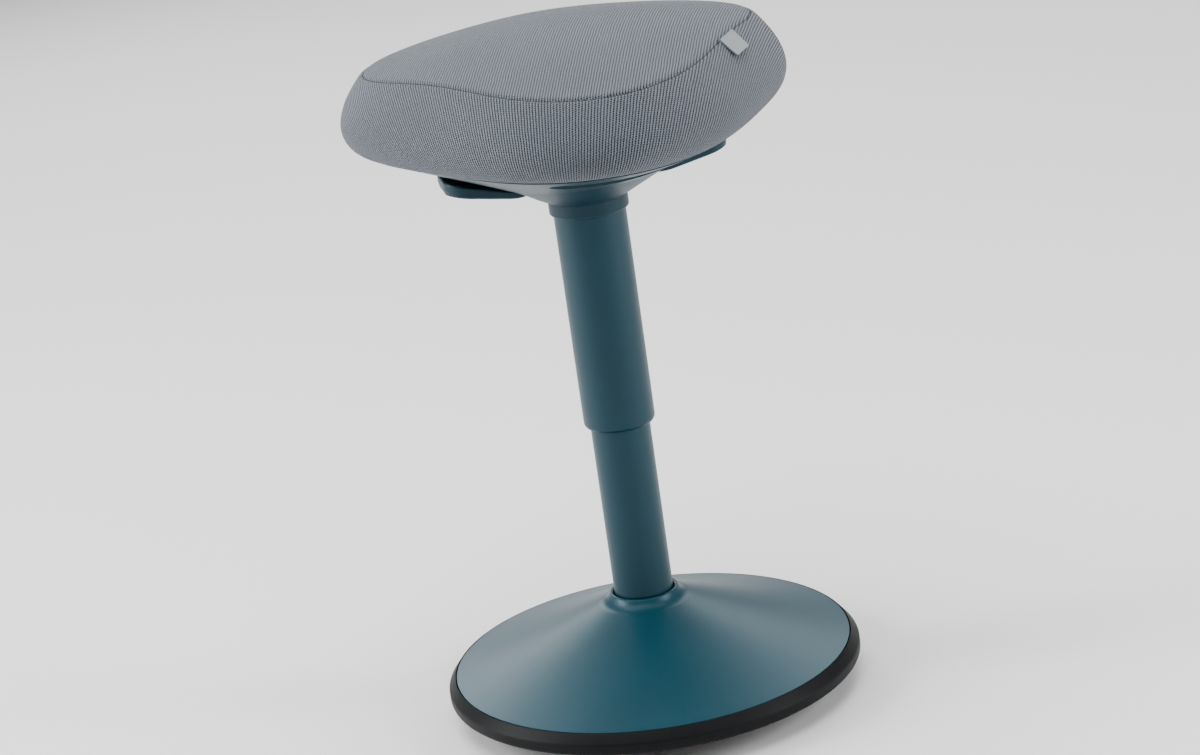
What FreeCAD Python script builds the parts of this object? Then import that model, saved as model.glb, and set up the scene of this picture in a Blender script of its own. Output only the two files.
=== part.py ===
import FreeCAD, Part
import math
import os
import re
import Sketcher

Vector = FreeCAD.Vector

# Wobble stool, millimetres, +Z up, origin on the floor under the centre of the column.
# The near corner of the three-cornered seat points to -Y.
SIZES = {
    # Rocking base: a shallow dome of rubber with a flat land in its middle
    "rocking_radius": 756.0,
    "land_radius": 32.0,
    "sole_wall": 3.0,
    "sole_setback": 16.4,
    "tread_pitch": 17.0,
    "tread_depth": 1.0,
    "tread_width": 3.0,
    "pan_wall": 3.0,
    "pan_setback": 8.2,
    # Soft edge ring, with a channel for the pan and a seat for the cover
    "rim_radius": 176.4,
    "rim_wall_top": 29.0,
    "crest_setback": 6.8,
    "rim_crest_top": 37.5,
    "rim_ledge_top": 31.0,
    "throat_setback": 16.4,
    # Painted cover of the base
    "cover_setback": 7.8,
    "cover_sink": 0.3,
    "cover_neck_radius": 39.0,
    "cover_neck_top": 85.3,
    "cover_lip_radius": 29.3,
    "cover_lip_top": 95.3,
    "cover_bore_radius": 25.9,
    "cover_lip_round": 1.9,
    "cover_collar_depth": 13.0,
    "cover_sheet": 2.5,
    "cover_neck_drop": 3.0,
    "cover_sweep": 1000.0,
    "cover_flare": 15.0,
    # Cast weight in the pan
    "ballast_setback": 54.4,
    "ballast_top": 28.0,
    "ballast_bore_radius": 14.0,
    "ballast_edge_height": 4.0,
    "ballast_bevel": 12.0,
    # Socket that carries the column
    "socket_flange_radius": 62.0,
    "socket_flange_wall": 8.0,
    "socket_wall": 6.0,
    "socket_top": 78.0,
    "socket_ledge_depth": 6.0,
    "socket_ledge_radius": 20.0,
    "socket_rib_wall": 5.0,
    "socket_rib_reach": 24.0,
    "socket_rib_rise": 30.0,
    "socket_bolt_circle": 50.0,
    "socket_bolt_radius": 4.0,
    "socket_bolt_head_radius": 7.5,
    "socket_bolt_head_wall": 5.3,
    "socket_bolt_bite": 14.0,
    "bolt_play": 0.2,
    # Column: a standard 50 mm gas-lift tube with a plastic guide bush
    "column_radius": 25.0,
    "column_wall": 2.0,
    "column_floor": 4.0,
    "column_top": 314.0,
    "bush_length": 80.0,
    "bush_flange": 2.0,
    # Thrust bearing under the piston rod, on which the seat turns
    "race_wall": 3.0,
    "race_radius": 14.0,
    "ball_radius": 2.0,
    "ball_circle": 10.4,
    "ball_play": 0.1,
    "cage_wall": 1.6,
    "cage_half_width": 2.6,
    "spigot_radius": 4.0,
    "clip_wall": 1.5,
    "clip_radius": 8.0,
    "clip_play": 0.3,
    "spigot_tail": 2.5,
    "buffer_radius": 11.0,
    "buffer_top": 72.0,
    # Gas spring
    "rod_radius": 5.0,
    "rod_top": 300.0,
    "piston_height": 16.0,
    "cylinder_radius": 14.0,
    "cylinder_wall": 2.0,
    "cylinder_foot": 195.0,
    "cylinder_cap": 12.0,
    "cylinder_taper": 1.0,
    "gland_setback": 1.0,
    "gland_height": 14.0,
    "slide_play": 0.1,
    "valve_radius": 2.4,
    "valve_play": 0.2,
    "valve_rise": 6.0,
    "valve_dip": 3.0,
    "seal_depth": 1.5,
    "seal_height": 5.0,
    "head_overlap": 12.0,
    # Cover tube that slides over the column, with its collar
    "sleeve_radius": 30.0,
    "sleeve_wall": 2.0,
    "sleeve_foot": 243.0,
    "sleeve_roll": 5.0,
    "sleeve_play": 0.6,
    "glide_height": 16.0,
    "glide_play": 0.35,
    "collar_radius": 33.0,
    "collar_foot": 429.2,
    "collar_top": 441.0,
    "collar_cap": 3.5,
    "collar_bore_play": 2.0,
    "collar_round": 2.0,
    # Hub under the seat: taper socket, two cheeks and a plate
    "hub_radius": 20.0,
    "socket_seat_length": 31.0,
    "cylinder_rise": 33.0,
    "cheek_wall": 8.0,
    "cheek_gap": 26.0,
    "cheek_half_length": 43.0,
    "cheek_drop": 9.0,
    "plate_length": 130.0,
    "plate_width": 100.0,
    "plate_wall": 6.0,
    "plate_corner": 12.0,
    "hub_screw_span_x": 108.0,
    "hub_screw_span_y": 78.0,
    "hub_screw_radius": 3.0,
    "hub_screw_bite": 9.0,
    "hub_screw_head_radius": 5.5,
    "hub_screw_head_wall": 3.0,
    # Levers, one each side, hinged in the cheeks
    "lever_pivot_reach": 35.0,
    "lever_pivot_drop": 29.5,
    "lever_pin_radius": 3.0,
    "pin_play": 0.1,
    "lever_boss_radius": 6.0,
    "lever_boss_play": 0.5,
    "lever_arm_width": 16.0,
    "lever_root_reach": 50.0,
    "lever_tip_reach": 118.0,
    "lever_tip_drop": 24.5,
    "lever_root_drop": 43.0,
    "lever_tip_wall": 9.0,
    "lever_root_wall": 6.0,
    "lever_width": 66.0,
    "lever_round": 20.0,
    "lever_nose_radius": 2.5,
    "lever_nose_reach": 7.5,
    "lever_nose_neck": 3.0,
    "lever_edge_round": 1.8,
    "arm_bite": 5.0,
    "arm_skirt": 2.0,
    "arm_wall": 5.0,
    "arm_shoulder": 2.0,
    "arm_spool_play": 2.0,
    "arm_hollow": 1.0,
    "arm_heel": 4.0,
    "arm_heel_rise": 0.5,
    "spool_radius": 12.0,
    "spool_neck_radius": 3.0,
    "spool_flange": 2.5,
    "nose_play": 0.4,
    # Seat outline: a circle drawn out into three soft corners
    "seat_radius": 179.6,
    "corner_swell": 0.10,
    # Underside shell
    "shell_wall": 3.0,
    "shell_knee_radius": 75.0,
    "shell_knee_rise": 23.3,
    "rim_inset": 16.5,
    "rim_strip": 3.3,
    "rim_bead": 3.0,
    "window_play": 3.0,
    "window_root_play": 6.0,
    "grip_width": 104.0,
    "grip_depth": 40.0,
    "grip_round": 16.0,
    "grip_setback": 69.56,
    "grip_wall": 2.0,
    "grip_cover": 2.5,
    "shell_screw_setback": 67.6,
    "shell_boss_radius": 6.0,
    "shell_boss_depth": 12.0,
    "shell_screw_radius": 2.0,
    "shell_screw_bite": 8.0,
    "screw_head_radius": 4.0,
    "screw_head_wall": 2.5,
    # Seat board and cushion
    "seat_rise": 60.5,
    "board_wall": 12.0,
    "board_inset": 24.0,
    "cushion_lift": 0.1,
    "cushion_foot_inset": 16.2,
    "waist_rise": 17.7,
    "seam_rise": 45.8,
    "seam_inset": 24.6,
    "crown_rise": 19.9,
    "cloth_wall": 1.6,
    "label_width": 34.0,
    "label_drop": 19.0,
    "label_wall": 1.2,
    "label_angle": 55.0,
    "label_lean": 43.0,
    "label_clearance": 0.5,
}

# Shares of the cushion's swell: how the waist rolls under, the band leans in and the crown flattens
ROLL_STEPS = (0.0, 0.3, 0.65, 1.0)
BAND_STEPS = (0.3, 0.55, 0.8, 1.0)
BAND_POWER = 1.76
CROWN_STEPS = (0.93, 0.8, 0.6, 0.35, 0.12)
CROWN_POWER = 1.81
SHELL_SCREW_ANGLES = (25.0, 90.0, 155.0)

CORNERS = 3
ROUND_POINTS = 24
BALL_COUNT = 12
SOCKET_BOLTS = 6
TREAD_RINGS = 6
NEARLY_ONE = 0.9

doc = FreeCAD.newDocument("WobbleStool")
sheet = doc.addObject("Spreadsheet::Sheet", "Sizes")
for row, (name, number) in enumerate(SIZES.items(), start=1):
    sheet.set("A%d" % row, name)
    sheet.set("B%d" % row, str(number))
    sheet.setAlias("B%d" % row, name)
doc.recompute()

ALIAS = re.compile(r"[a-z]+(?:_[a-z]+)+")
ACROSS = FreeCAD.Rotation(Vector(1, 0, 0), -90)
probe = doc.addObject("App::FeaturePython", "Probe")
nodes = []


def bound(text):
    """The expression with each named size pointed at the sheet."""
    return ALIAS.sub(lambda found: "Sizes." + found.group(0), text)


def size(text):
    """The present value of an expression of named sizes."""
    return float(probe.evalExpression(bound(text)))


# Heights that several pieces share, from the floor up
PAN_TOP = "(sole_wall + pan_wall)"
FLANGE_TOP = "(ballast_top + socket_flange_wall)"
COLUMN_FOOT = "(ballast_top + socket_ledge_depth)"
COLUMN_FLOOR_TOP = "(" + COLUMN_FOOT + " + column_floor)"
LOWER_RACE_TOP = "(" + COLUMN_FLOOR_TOP + " + race_wall)"
UPPER_RACE_FOOT = "(" + LOWER_RACE_TOP + " + 2 * ball_radius + 2 * ball_play)"
UPPER_RACE_TOP = "(" + UPPER_RACE_FOOT + " + race_wall)"
CYLINDER_TOP = "(collar_top + cylinder_rise)"
SPOOL_FOOT = "(" + CYLINDER_TOP + " + valve_rise)"
NOSE_HEIGHT = "(" + SPOOL_FOOT + " + spool_flange + nose_play + lever_nose_radius)"
SPOOL_TOP = "(" + NOSE_HEIGHT + " + lever_nose_radius + nose_play + spool_flange)"
BOARD_FOOT = "(collar_top + seat_rise)"
PLATE_FOOT = "(" + BOARD_FOOT + " - plate_wall)"
PIVOT_HEIGHT = "(" + BOARD_FOOT + " - lever_pivot_drop)"
CUSHION_FOOT = "(" + BOARD_FOOT + " + cushion_lift)"
WAIST_HEIGHT = "(" + CUSHION_FOOT + " + waist_rise)"
SEAM_HEIGHT = "(" + WAIST_HEIGHT + " + seam_rise)"
RIM_FOOT = "(" + CUSHION_FOOT + " - rim_strip)"
KNEE_HEIGHT = "(collar_top + shell_knee_rise)"

# Radii and places that follow the rim of the base and the outline of the seat
PAN_EDGE = "(rim_radius - pan_setback)"
SOLE_EDGE = "(rim_radius - sole_setback)"
RIM_CREST = "(rim_radius - crest_setback)"
RIM_THROAT = "(rim_radius - throat_setback)"
COVER_EDGE = "(rim_radius - cover_setback)"
COVER_EDGE_TOP = "(rim_crest_top - cover_sink)"
BALLAST_EDGE = "(rim_radius - ballast_setback)"
SCREW_CIRCLE = "(seat_radius - shell_screw_setback)"
GRIP_CENTRE = "(seat_radius * (1 + corner_swell) - grip_setback)"


def dome(radius, lift):
    """Height of the rocking dome at a radius, raised square to itself by lift."""
    centre = "sqrt(rocking_radius ^ 2 - land_radius ^ 2)"
    return "(%s - sqrt((rocking_radius - %s) ^ 2 - (%s) ^ 2))" % (centre, lift, radius)


def keep(item, label):
    """Make a finished piece a node of the part."""
    item.Label = label
    nodes.append(item)
    return item


def plane_of(body, role):
    """One of the body's own origin planes."""
    for feature in body.Origin.OriginFeatures:
        if feature.Role == role:
            return feature
    raise ValueError(role)


def draw(sketch, outline, arcs):
    """Draw a closed outline of bound points, with some sides as arcs of bound radius."""
    corners = [Vector(size(across), size(up), 0) for across, up in outline]
    total = len(corners)
    ends = []
    for index, here in enumerate(corners):
        there = corners[(index + 1) % total]
        if index in arcs:
            radius_text, side = arcs[index]
            radius = size(radius_text)
            chord = there - here
            left = Vector(-chord.y, chord.x, 0).normalize()
            rise = math.sqrt(max(radius ** 2 - (chord.Length / 2) ** 2, 0))
            centre = (here + there) * 0.5 + left * (side * rise)
            first, last = (here, there) if side > 0 else (there, here)
            angles = [math.atan2(spot.y - centre.y, spot.x - centre.x) for spot in (first, last)]
            if angles[1] < angles[0]:
                angles[1] += 2 * math.pi
            circle = Part.Circle(centre, Vector(0, 0, 1), radius)
            sketch.addGeometry(Part.ArcOfCircle(circle, angles[0], angles[1]), False)
            ends.append((1, 2) if side > 0 else (2, 1))
        else:
            sketch.addGeometry(Part.LineSegment(here, there), False)
            ends.append((1, 2))
    for index in range(total):
        following = (index + 1) % total
        sketch.addConstraint(
            Sketcher.Constraint("Coincident", index, ends[index][1], following, ends[following][0])
        )
    for index, (across, up) in enumerate(outline):
        for kind, text, axis in (("DistanceX", across, -2), ("DistanceY", up, -1)):
            if text == "0":
                sketch.addConstraint(Sketcher.Constraint("PointOnObject", index, ends[index][0], axis))
                continue
            place = sketch.addConstraint(
                Sketcher.Constraint(kind, index, ends[index][0], size(text))
            )
            sketch.setExpression("Constraints[%d]" % place, bound(text))
    for index, (radius_text, side) in arcs.items():
        place = sketch.addConstraint(Sketcher.Constraint("Radius", index, size(radius_text)))
        sketch.setExpression("Constraints[%d]" % place, bound(radius_text))


def spun(label, outline, arcs=None):
    """A body turned about the column axis from an outline of (radius, height) pairs."""
    body = doc.addObject("PartDesign::Body", label)
    sketch = body.newObject("Sketcher::SketchObject", label + "_outline")
    sketch.AttachmentSupport = [(plane_of(body, "XZ_Plane"), "")]
    sketch.MapMode = "FlatFace"
    draw(sketch, outline, arcs or {})
    turned = body.newObject("PartDesign::Revolution", label + "_turned")
    turned.Profile = sketch
    turned.ReferenceAxis = (sketch, ["V_Axis"])
    turned.Angle = 360
    body.Tip = turned
    doc.recompute()
    return body


def solid(kind, label, sizes, place=("0", "0", "0"), turn=None):
    """A Part primitive with bound sizes and a bound place."""
    item = doc.addObject("Part::" + kind, label)
    for name, text in sizes.items():
        item.setExpression(name, bound(text))
    if turn is not None:
        item.Placement = FreeCAD.Placement(Vector(), turn)
    for axis, text in zip("xyz", place):
        item.setExpression("Placement.Base." + axis, bound(text))
    return item


def cut(label, base, tool):
    item = doc.addObject("Part::Cut", label)
    item.Base = base
    item.Tool = tool
    return item


def fuse(label, pieces):
    item = doc.addObject("Part::MultiFuse", label)
    item.Shapes = pieces
    return item


def group(label, pieces):
    """Identical loose solids that share one node."""
    item = doc.addObject("Part::Compound", label)
    item.Links = pieces
    return item


def drilled(label, base, places, radius, foot, depth):
    """The base with a round hole straight down at each place."""
    tools = []
    for index, (across, along) in enumerate(places):
        sizes = {"Radius": radius, "Height": depth}
        tools.append(solid("Cylinder", "%s_drill_%d" % (label, index), sizes, (across, along, foot)))
    return cut(label, base, group(label + "_drills", tools))


def ring_of(count, circle, start=0.0):
    """Places evenly round a circle, as bound expressions."""
    angles = [start + 360.0 * index / count for index in range(count)]
    return [("%s * cos(%s)" % (circle, angle), "%s * sin(%s)" % (circle, angle)) for angle in angles]


def screws(label, places, shank, foot, length, head, head_wall, hexagonal=False, up=False):
    """A set of like screws: shanks above or below their heads, all on one level."""
    made = []
    head_foot = "%s - (%s)" % (foot, head_wall) if up else "%s + %s" % (foot, length)
    for index, (across, along) in enumerate(places):
        tag = "%s_%d" % (label, index)
        sizes = {"Radius": shank, "Height": length}
        stem = solid("Cylinder", tag + "_stem", sizes, (across, along, foot))
        if hexagonal:
            cap = solid("Prism", tag + "_cap", {"Circumradius": head, "Height": head_wall},
                        (across, along, head_foot))
            cap.Polygon = 6
        else:
            cap = solid("Cylinder", tag + "_cap", {"Radius": head, "Height": head_wall},
                        (across, along, head_foot))
        made.append(fuse(tag, [stem, cap]))
    return keep(group(label, made), label)


def soft_ring(radius, swell, inset, height):
    """A closed smooth curve: a circle drawn out into soft corners, one of them at -Y."""
    points = []
    for step in range(ROUND_POINTS):
        turn = 2 * math.pi * step / ROUND_POINTS
        reach = radius * (1 + swell * math.cos(CORNERS * turn)) - inset
        points.append(Vector(reach * math.sin(turn), -reach * math.cos(turn), height))
    curve = Part.BSplineCurve()
    curve.interpolate(points, PeriodicFlag=True)
    return Part.Wire([curve.toShape()])


def seat_ring(inset, height):
    return soft_ring(size("seat_radius"), size("corner_swell"), inset, height)


def formed(label, shape, placement=FreeCAD.Placement()):
    """A node whose form is lofted, as no primitive fits it."""
    item = doc.addObject("Part::Feature", label)
    item.Shape = shape
    item.Placement = placement
    return keep(item, label)


def build_base():
    """Rocking pan, sole, edge ring, weight and painted cover."""
    sole = [("0", "0"), ("land_radius", "0")]
    sole_arcs = {1: ("rocking_radius", 1)}
    sole.append((SOLE_EDGE, dome(SOLE_EDGE, "0")))
    sole.append((SOLE_EDGE, dome(SOLE_EDGE, "sole_wall")))
    sole.append(("land_radius", dome("land_radius", "sole_wall")))
    sole.append(("0", dome("land_radius", "sole_wall")))
    sole_arcs[3] = ("rocking_radius - sole_wall", -1)
    body = spun("sole_blank", sole, sole_arcs)
    treads = []
    for index in range(TREAD_RINGS):
        circle = "(land_radius + %d * tread_pitch)" % (index + 1)
        middle = dome(circle, "0")
        outer = solid("Cylinder", "tread_outer_%d" % index,
                      {"Radius": circle + " + tread_width / 2", "Height": "tread_depth + sole_wall"},
                      ("0", "0", middle + " - sole_wall"))
        inner = solid("Cylinder", "tread_inner_%d" % index,
                      {"Radius": circle + " - tread_width / 2", "Height": "tread_depth + sole_wall"},
                      ("0", "0", middle + " - sole_wall"))
        treads.append(cut("tread_%d" % index, outer, inner))
    keep(cut("sole_with_treads", body, group("treads", treads)), "rubber_sole")

    pan = [("0", dome("land_radius", "sole_wall")), ("land_radius", dome("land_radius", "sole_wall"))]
    pan.append((PAN_EDGE, dome(PAN_EDGE, "sole_wall")))
    pan.append((PAN_EDGE, dome(PAN_EDGE, PAN_TOP)))
    pan.append(("land_radius", dome("land_radius", PAN_TOP)))
    pan.append(("0", dome("land_radius", PAN_TOP)))
    pan_arcs = {1: ("rocking_radius - sole_wall", 1), 3: ("rocking_radius - " + PAN_TOP, -1)}
    keep(spun("rocker_pan", pan, pan_arcs), "rocker_pan")

    ring = [("rim_radius", dome("rim_radius", "0")), ("rim_radius", "rim_wall_top")]
    ring.append((RIM_CREST, "rim_crest_top"))
    ring.append((RIM_CREST, "rim_ledge_top"))
    ring.append((RIM_THROAT, "rim_ledge_top"))
    ring.append((RIM_THROAT, dome(RIM_THROAT, PAN_TOP)))
    ring.append((PAN_EDGE, dome(PAN_EDGE, PAN_TOP)))
    ring.append((PAN_EDGE, dome(PAN_EDGE, "sole_wall")))
    ring.append((SOLE_EDGE, dome(SOLE_EDGE, "sole_wall")))
    ring.append((SOLE_EDGE, dome(SOLE_EDGE, "0")))
    ring_arcs = {5: ("rocking_radius - " + PAN_TOP, 1), 7: ("rocking_radius - sole_wall", -1)}
    ring_arcs[9] = ("rocking_radius", 1)
    keep(spun("edge_ring", ring, ring_arcs), "edge_ring")

    cover = [(COVER_EDGE, "rim_ledge_top"), (COVER_EDGE, COVER_EDGE_TOP)]
    cover.append(("cover_neck_radius", "cover_neck_top"))
    cover.append(("cover_lip_radius", "cover_lip_top - cover_lip_round"))
    cover.append(("cover_bore_radius", "cover_lip_top - cover_lip_round"))
    cover.append(("cover_bore_radius", "cover_lip_top - cover_collar_depth"))
    cover.append(("cover_neck_radius - cover_sheet / 2", "cover_neck_top - cover_neck_drop"))
    cover.append((COVER_EDGE + " - cover_sheet", COVER_EDGE_TOP + " - cover_sheet"))
    cover.append((COVER_EDGE + " - cover_sheet", "rim_ledge_top"))
    cover_arcs = {1: ("cover_sweep", -1), 2: ("cover_flare", -1), 3: ("cover_lip_round", 1)}
    cover_arcs[6] = ("cover_sweep", 1)
    keep(spun("base_cover", cover, cover_arcs), "base_cover")


def build_column():
    """Weight, socket with ribs, bolts, column tube and its bush."""
    bolt_places = ring_of(SOCKET_BOLTS, "socket_bolt_circle", 30.0)
    weight = [("ballast_bore_radius", dome("land_radius", PAN_TOP))]
    weight.append(("land_radius", dome("land_radius", PAN_TOP)))
    weight.append((BALLAST_EDGE, dome(BALLAST_EDGE, PAN_TOP)))
    weight.append((BALLAST_EDGE, dome(BALLAST_EDGE, PAN_TOP) + " + ballast_edge_height"))
    weight.append((BALLAST_EDGE + " - ballast_bevel", "ballast_top"))
    weight.append(("ballast_bore_radius", "ballast_top"))
    turned = spun("ballast_turned_body", weight, {1: ("rocking_radius - " + PAN_TOP, 1)})
    bite_foot = "ballast_top - socket_bolt_bite - bolt_play"
    hole = "socket_bolt_radius + bolt_play"
    keep(drilled("ballast", turned, bolt_places, hole, bite_foot, "ballast_top"), "ballast_disc")

    outer = "column_radius + socket_wall"
    socket = [("socket_ledge_radius", "ballast_top"), ("socket_flange_radius", "ballast_top")]
    socket.append(("socket_flange_radius", FLANGE_TOP))
    socket.append((outer, FLANGE_TOP))
    socket.append((outer, "socket_top"))
    socket.append(("column_radius", "socket_top"))
    socket.append(("column_radius", COLUMN_FOOT))
    socket.append(("socket_ledge_radius", COLUMN_FOOT))
    body = spun("column_socket_body", socket)
    rib = body.newObject("Sketcher::SketchObject", "rib_outline")
    rib.AttachmentSupport = [(plane_of(body, "XZ_Plane"), "")]
    rib.MapMode = "FlatFace"
    root = "column_radius + socket_wall / 2"
    rib_sides = [(root, FLANGE_TOP), (outer + " + socket_rib_reach", FLANGE_TOP)]
    rib_sides.append((outer, FLANGE_TOP + " + socket_rib_rise"))
    rib_sides.append((root, FLANGE_TOP + " + socket_rib_rise"))
    draw(rib, rib_sides, {})
    web = body.newObject("PartDesign::Pad", "rib_web")
    web.Profile = rib
    web.Midplane = True
    web.setExpression("Length", bound("socket_rib_wall"))
    body.Tip = web
    doc.recompute()
    ribs = body.newObject("PartDesign::PolarPattern", "ribs_round_socket")
    ribs.Originals = [web]
    ribs.Axis = (plane_of(body, "Z_Axis"), [""])
    ribs.Angle = 360
    ribs.Occurrences = SOCKET_BOLTS
    body.Tip = ribs
    doc.recompute()
    socket_holes = drilled("socket", body, bolt_places, hole, "ballast_top - bolt_play", "socket_top")
    keep(socket_holes, "column_socket")
    screws("socket_bolts", bolt_places, "socket_bolt_radius", "ballast_top - socket_bolt_bite",
           "socket_bolt_bite + socket_flange_wall", "socket_bolt_head_radius",
           "socket_bolt_head_wall", hexagonal=True)

    inner = "column_radius - column_wall"
    rod_hole = "spigot_radius + bolt_play"
    tube = [(rod_hole, COLUMN_FOOT), ("column_radius", COLUMN_FOOT), ("column_radius", "column_top")]
    tube.append((inner, "column_top"))
    tube.append((inner, COLUMN_FLOOR_TOP))
    tube.append((rod_hole, COLUMN_FLOOR_TOP))
    keep(spun("column_tube", tube), "column_tube")

    bore = "cylinder_radius + slide_play"
    bush_foot = "column_top - bush_length"
    flange = "column_radius - column_wall / 2"
    bush = [(bore, bush_foot), (inner, bush_foot), (inner, "column_top"), (flange, "column_top")]
    bush.append((flange, "column_top + bush_flange"))
    bush.append((bore, "column_top + bush_flange"))
    keep(spun("guide_bush", bush), "guide_bush")


def build_bearing():
    """Thrust bearing that the piston rod stands on, in the foot of the column."""
    hole = "spigot_radius + bolt_play"
    lower = [(hole, COLUMN_FLOOR_TOP), ("race_radius", COLUMN_FLOOR_TOP)]
    lower.append(("race_radius", LOWER_RACE_TOP))
    lower.append((hole, LOWER_RACE_TOP))
    keep(spun("bearing_lower_race", lower), "bearing_lower_race")
    ball_height = LOWER_RACE_TOP + " + ball_radius"
    places = ring_of(BALL_COUNT, "ball_circle")
    balls = []
    for index, (across, along) in enumerate(places):
        place = (across, along, ball_height)
        balls.append(solid("Sphere", "ball_%d" % index, {"Radius": "ball_radius"}, place))
    keep(group("bearing_balls", balls), "bearing_balls")
    cage_foot = ball_height + " - cage_wall / 2"
    cage = [("ball_circle - cage_half_width", cage_foot), ("ball_circle + cage_half_width", cage_foot)]
    cage.append(("ball_circle + cage_half_width", cage_foot + " + cage_wall"))
    cage.append(("ball_circle - cage_half_width", cage_foot + " + cage_wall"))
    body = spun("cage_body", cage)
    pocket = "ball_radius + ball_play"
    pockets = drilled("cage", body, places, pocket, LOWER_RACE_TOP, "3 * ball_radius")
    keep(pockets, "bearing_cage")
    upper = [("spigot_radius", UPPER_RACE_FOOT), ("race_radius", UPPER_RACE_FOOT)]
    upper.append(("race_radius", UPPER_RACE_TOP))
    upper.append(("spigot_radius", UPPER_RACE_TOP))
    keep(spun("bearing_upper_race", upper), "bearing_upper_race")


def build_piston():
    """Rod, piston, seal, clip and travel buffer, which turn in the bearing."""
    clip_top = COLUMN_FOOT + " - clip_play"
    clip_foot = clip_top + " - clip_wall"
    rod = [("0", clip_foot + " - spigot_tail"), ("spigot_radius", clip_foot + " - spigot_tail")]
    rod.append(("spigot_radius", UPPER_RACE_TOP))
    rod.append(("rod_radius", UPPER_RACE_TOP))
    rod.append(("rod_radius", "rod_top"))
    rod.append(("0", "rod_top"))
    keep(spun("piston_rod", rod), "piston_rod")
    clip = [("spigot_radius", clip_foot), ("clip_radius", clip_foot)]
    clip.append(("clip_radius", clip_top))
    clip.append(("spigot_radius", clip_top))
    keep(spun("rod_clip", clip), "rod_clip")
    buffer = [("rod_radius", UPPER_RACE_TOP), ("buffer_radius", UPPER_RACE_TOP)]
    buffer.append(("buffer_radius", "buffer_top"))
    buffer.append(("rod_radius", "buffer_top"))
    keep(spun("travel_buffer", buffer), "travel_buffer")
    face = "cylinder_radius - cylinder_wall - slide_play"
    foot = "rod_top - head_overlap"
    groove_foot = foot + " + (piston_height - seal_height) / 2"
    groove_top = groove_foot + " + seal_height"
    groove = face + " - seal_depth"
    head = [("rod_radius", foot), (face, foot), (face, groove_foot), (groove, groove_foot)]
    head.append((groove, groove_top))
    head.append((face, groove_top))
    head.append((face, foot + " + piston_height"))
    head.append(("0", foot + " + piston_height"))
    head.append(("0", "rod_top"))
    head.append(("rod_radius", "rod_top"))
    keep(spun("piston_head", head), "piston_head")
    seal = [(groove, groove_foot), (face, groove_foot), (face, groove_top), (groove, groove_top)]
    keep(spun("piston_seal", seal), "piston_seal")


def build_cylinder():
    """Gas cylinder with its gland, and the valve pin in its head."""
    bore = "cylinder_radius - cylinder_wall"
    valve_hole = "valve_radius + valve_play"
    cap_foot = CYLINDER_TOP + " - cylinder_cap"
    wall = [(bore, "cylinder_foot"), ("cylinder_radius", "cylinder_foot")]
    wall.append(("cylinder_radius", "collar_top"))
    wall.append(("cylinder_radius - cylinder_taper", CYLINDER_TOP))
    wall.append((valve_hole, CYLINDER_TOP))
    wall.append((valve_hole, cap_foot))
    wall.append((bore, cap_foot))
    keep(spun("gas_cylinder", wall), "gas_cylinder")
    gland_foot = "cylinder_foot + gland_setback"
    rod_hole = "rod_radius + slide_play"
    gland = [(rod_hole, gland_foot), (bore, gland_foot), (bore, gland_foot + " + gland_height")]
    gland.append((rod_hole, gland_foot + " + gland_height"))
    keep(spun("cylinder_gland", gland), "cylinder_gland")
    pin_foot = cap_foot + " - valve_dip"
    pin = [("0", pin_foot), ("valve_radius", pin_foot), ("valve_radius", SPOOL_FOOT), ("0", SPOOL_FOOT)]
    keep(spun("valve_pin", pin), "valve_pin")
    lower = SPOOL_FOOT + " + spool_flange"
    upper = SPOOL_TOP + " - spool_flange"
    spool = [("0", SPOOL_FOOT), ("spool_radius", SPOOL_FOOT), ("spool_radius", lower)]
    spool.append(("spool_neck_radius", lower))
    spool.append(("spool_neck_radius", upper))
    spool.append(("spool_radius", upper))
    spool.append(("spool_radius", SPOOL_TOP))
    spool.append(("0", SPOOL_TOP))
    keep(spun("press_spool", spool), "press_spool")


def build_sleeve():
    """Outer cover tube with its rolled end, glide ring and collar."""
    lip = "column_radius + sleeve_play"
    inner = "sleeve_radius - sleeve_wall"
    top = "collar_top - collar_cap"
    sleeve = [(lip, "sleeve_foot"), ("sleeve_radius", "sleeve_foot + sleeve_roll")]
    sleeve.append(("sleeve_radius", top))
    sleeve.append((inner, top))
    sleeve.append((inner, "sleeve_foot + sleeve_roll"))
    sleeve.append((lip, "sleeve_foot + sleeve_wall"))
    keep(spun("cover_tube", sleeve, {0: ("sleeve_roll", 1)}), "cover_tube")
    glide_bore = "column_radius + glide_play"
    glide_foot = "sleeve_foot + sleeve_roll"
    glide = [(glide_bore, glide_foot), (inner, glide_foot), (inner, glide_foot + " + glide_height")]
    glide.append((glide_bore, glide_foot + " + glide_height"))
    keep(spun("glide_ring", glide), "glide_ring")
    bore = "cylinder_radius + collar_bore_play"
    collar = [("sleeve_radius", "collar_foot"), ("collar_radius - collar_round", "collar_foot")]
    collar.append(("collar_radius", "collar_foot + collar_round"))
    collar.append(("collar_radius", "collar_top"))
    collar.append((bore, "collar_top"))
    collar.append((bore, top))
    collar.append(("sleeve_radius", top))
    keep(spun("collar_ring", collar, {1: ("collar_round", 1)}), "collar_ring")


def softened(label, base, radius, choose):
    """Round the chosen edges of a piece."""
    doc.recompute()
    item = doc.addObject("Part::Fillet", label)
    item.Base = base
    picked = [number for number, edge in enumerate(base.Shape.Edges, start=1) if choose(edge)]
    item.Edges = [(number, radius, radius) for number in picked]
    return item


def is_upright(edge):
    return abs(edge.tangentAt(edge.FirstParameter).z) > NEARLY_ONE


def any_edge(edge):
    return edge.Length > 0


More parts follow.
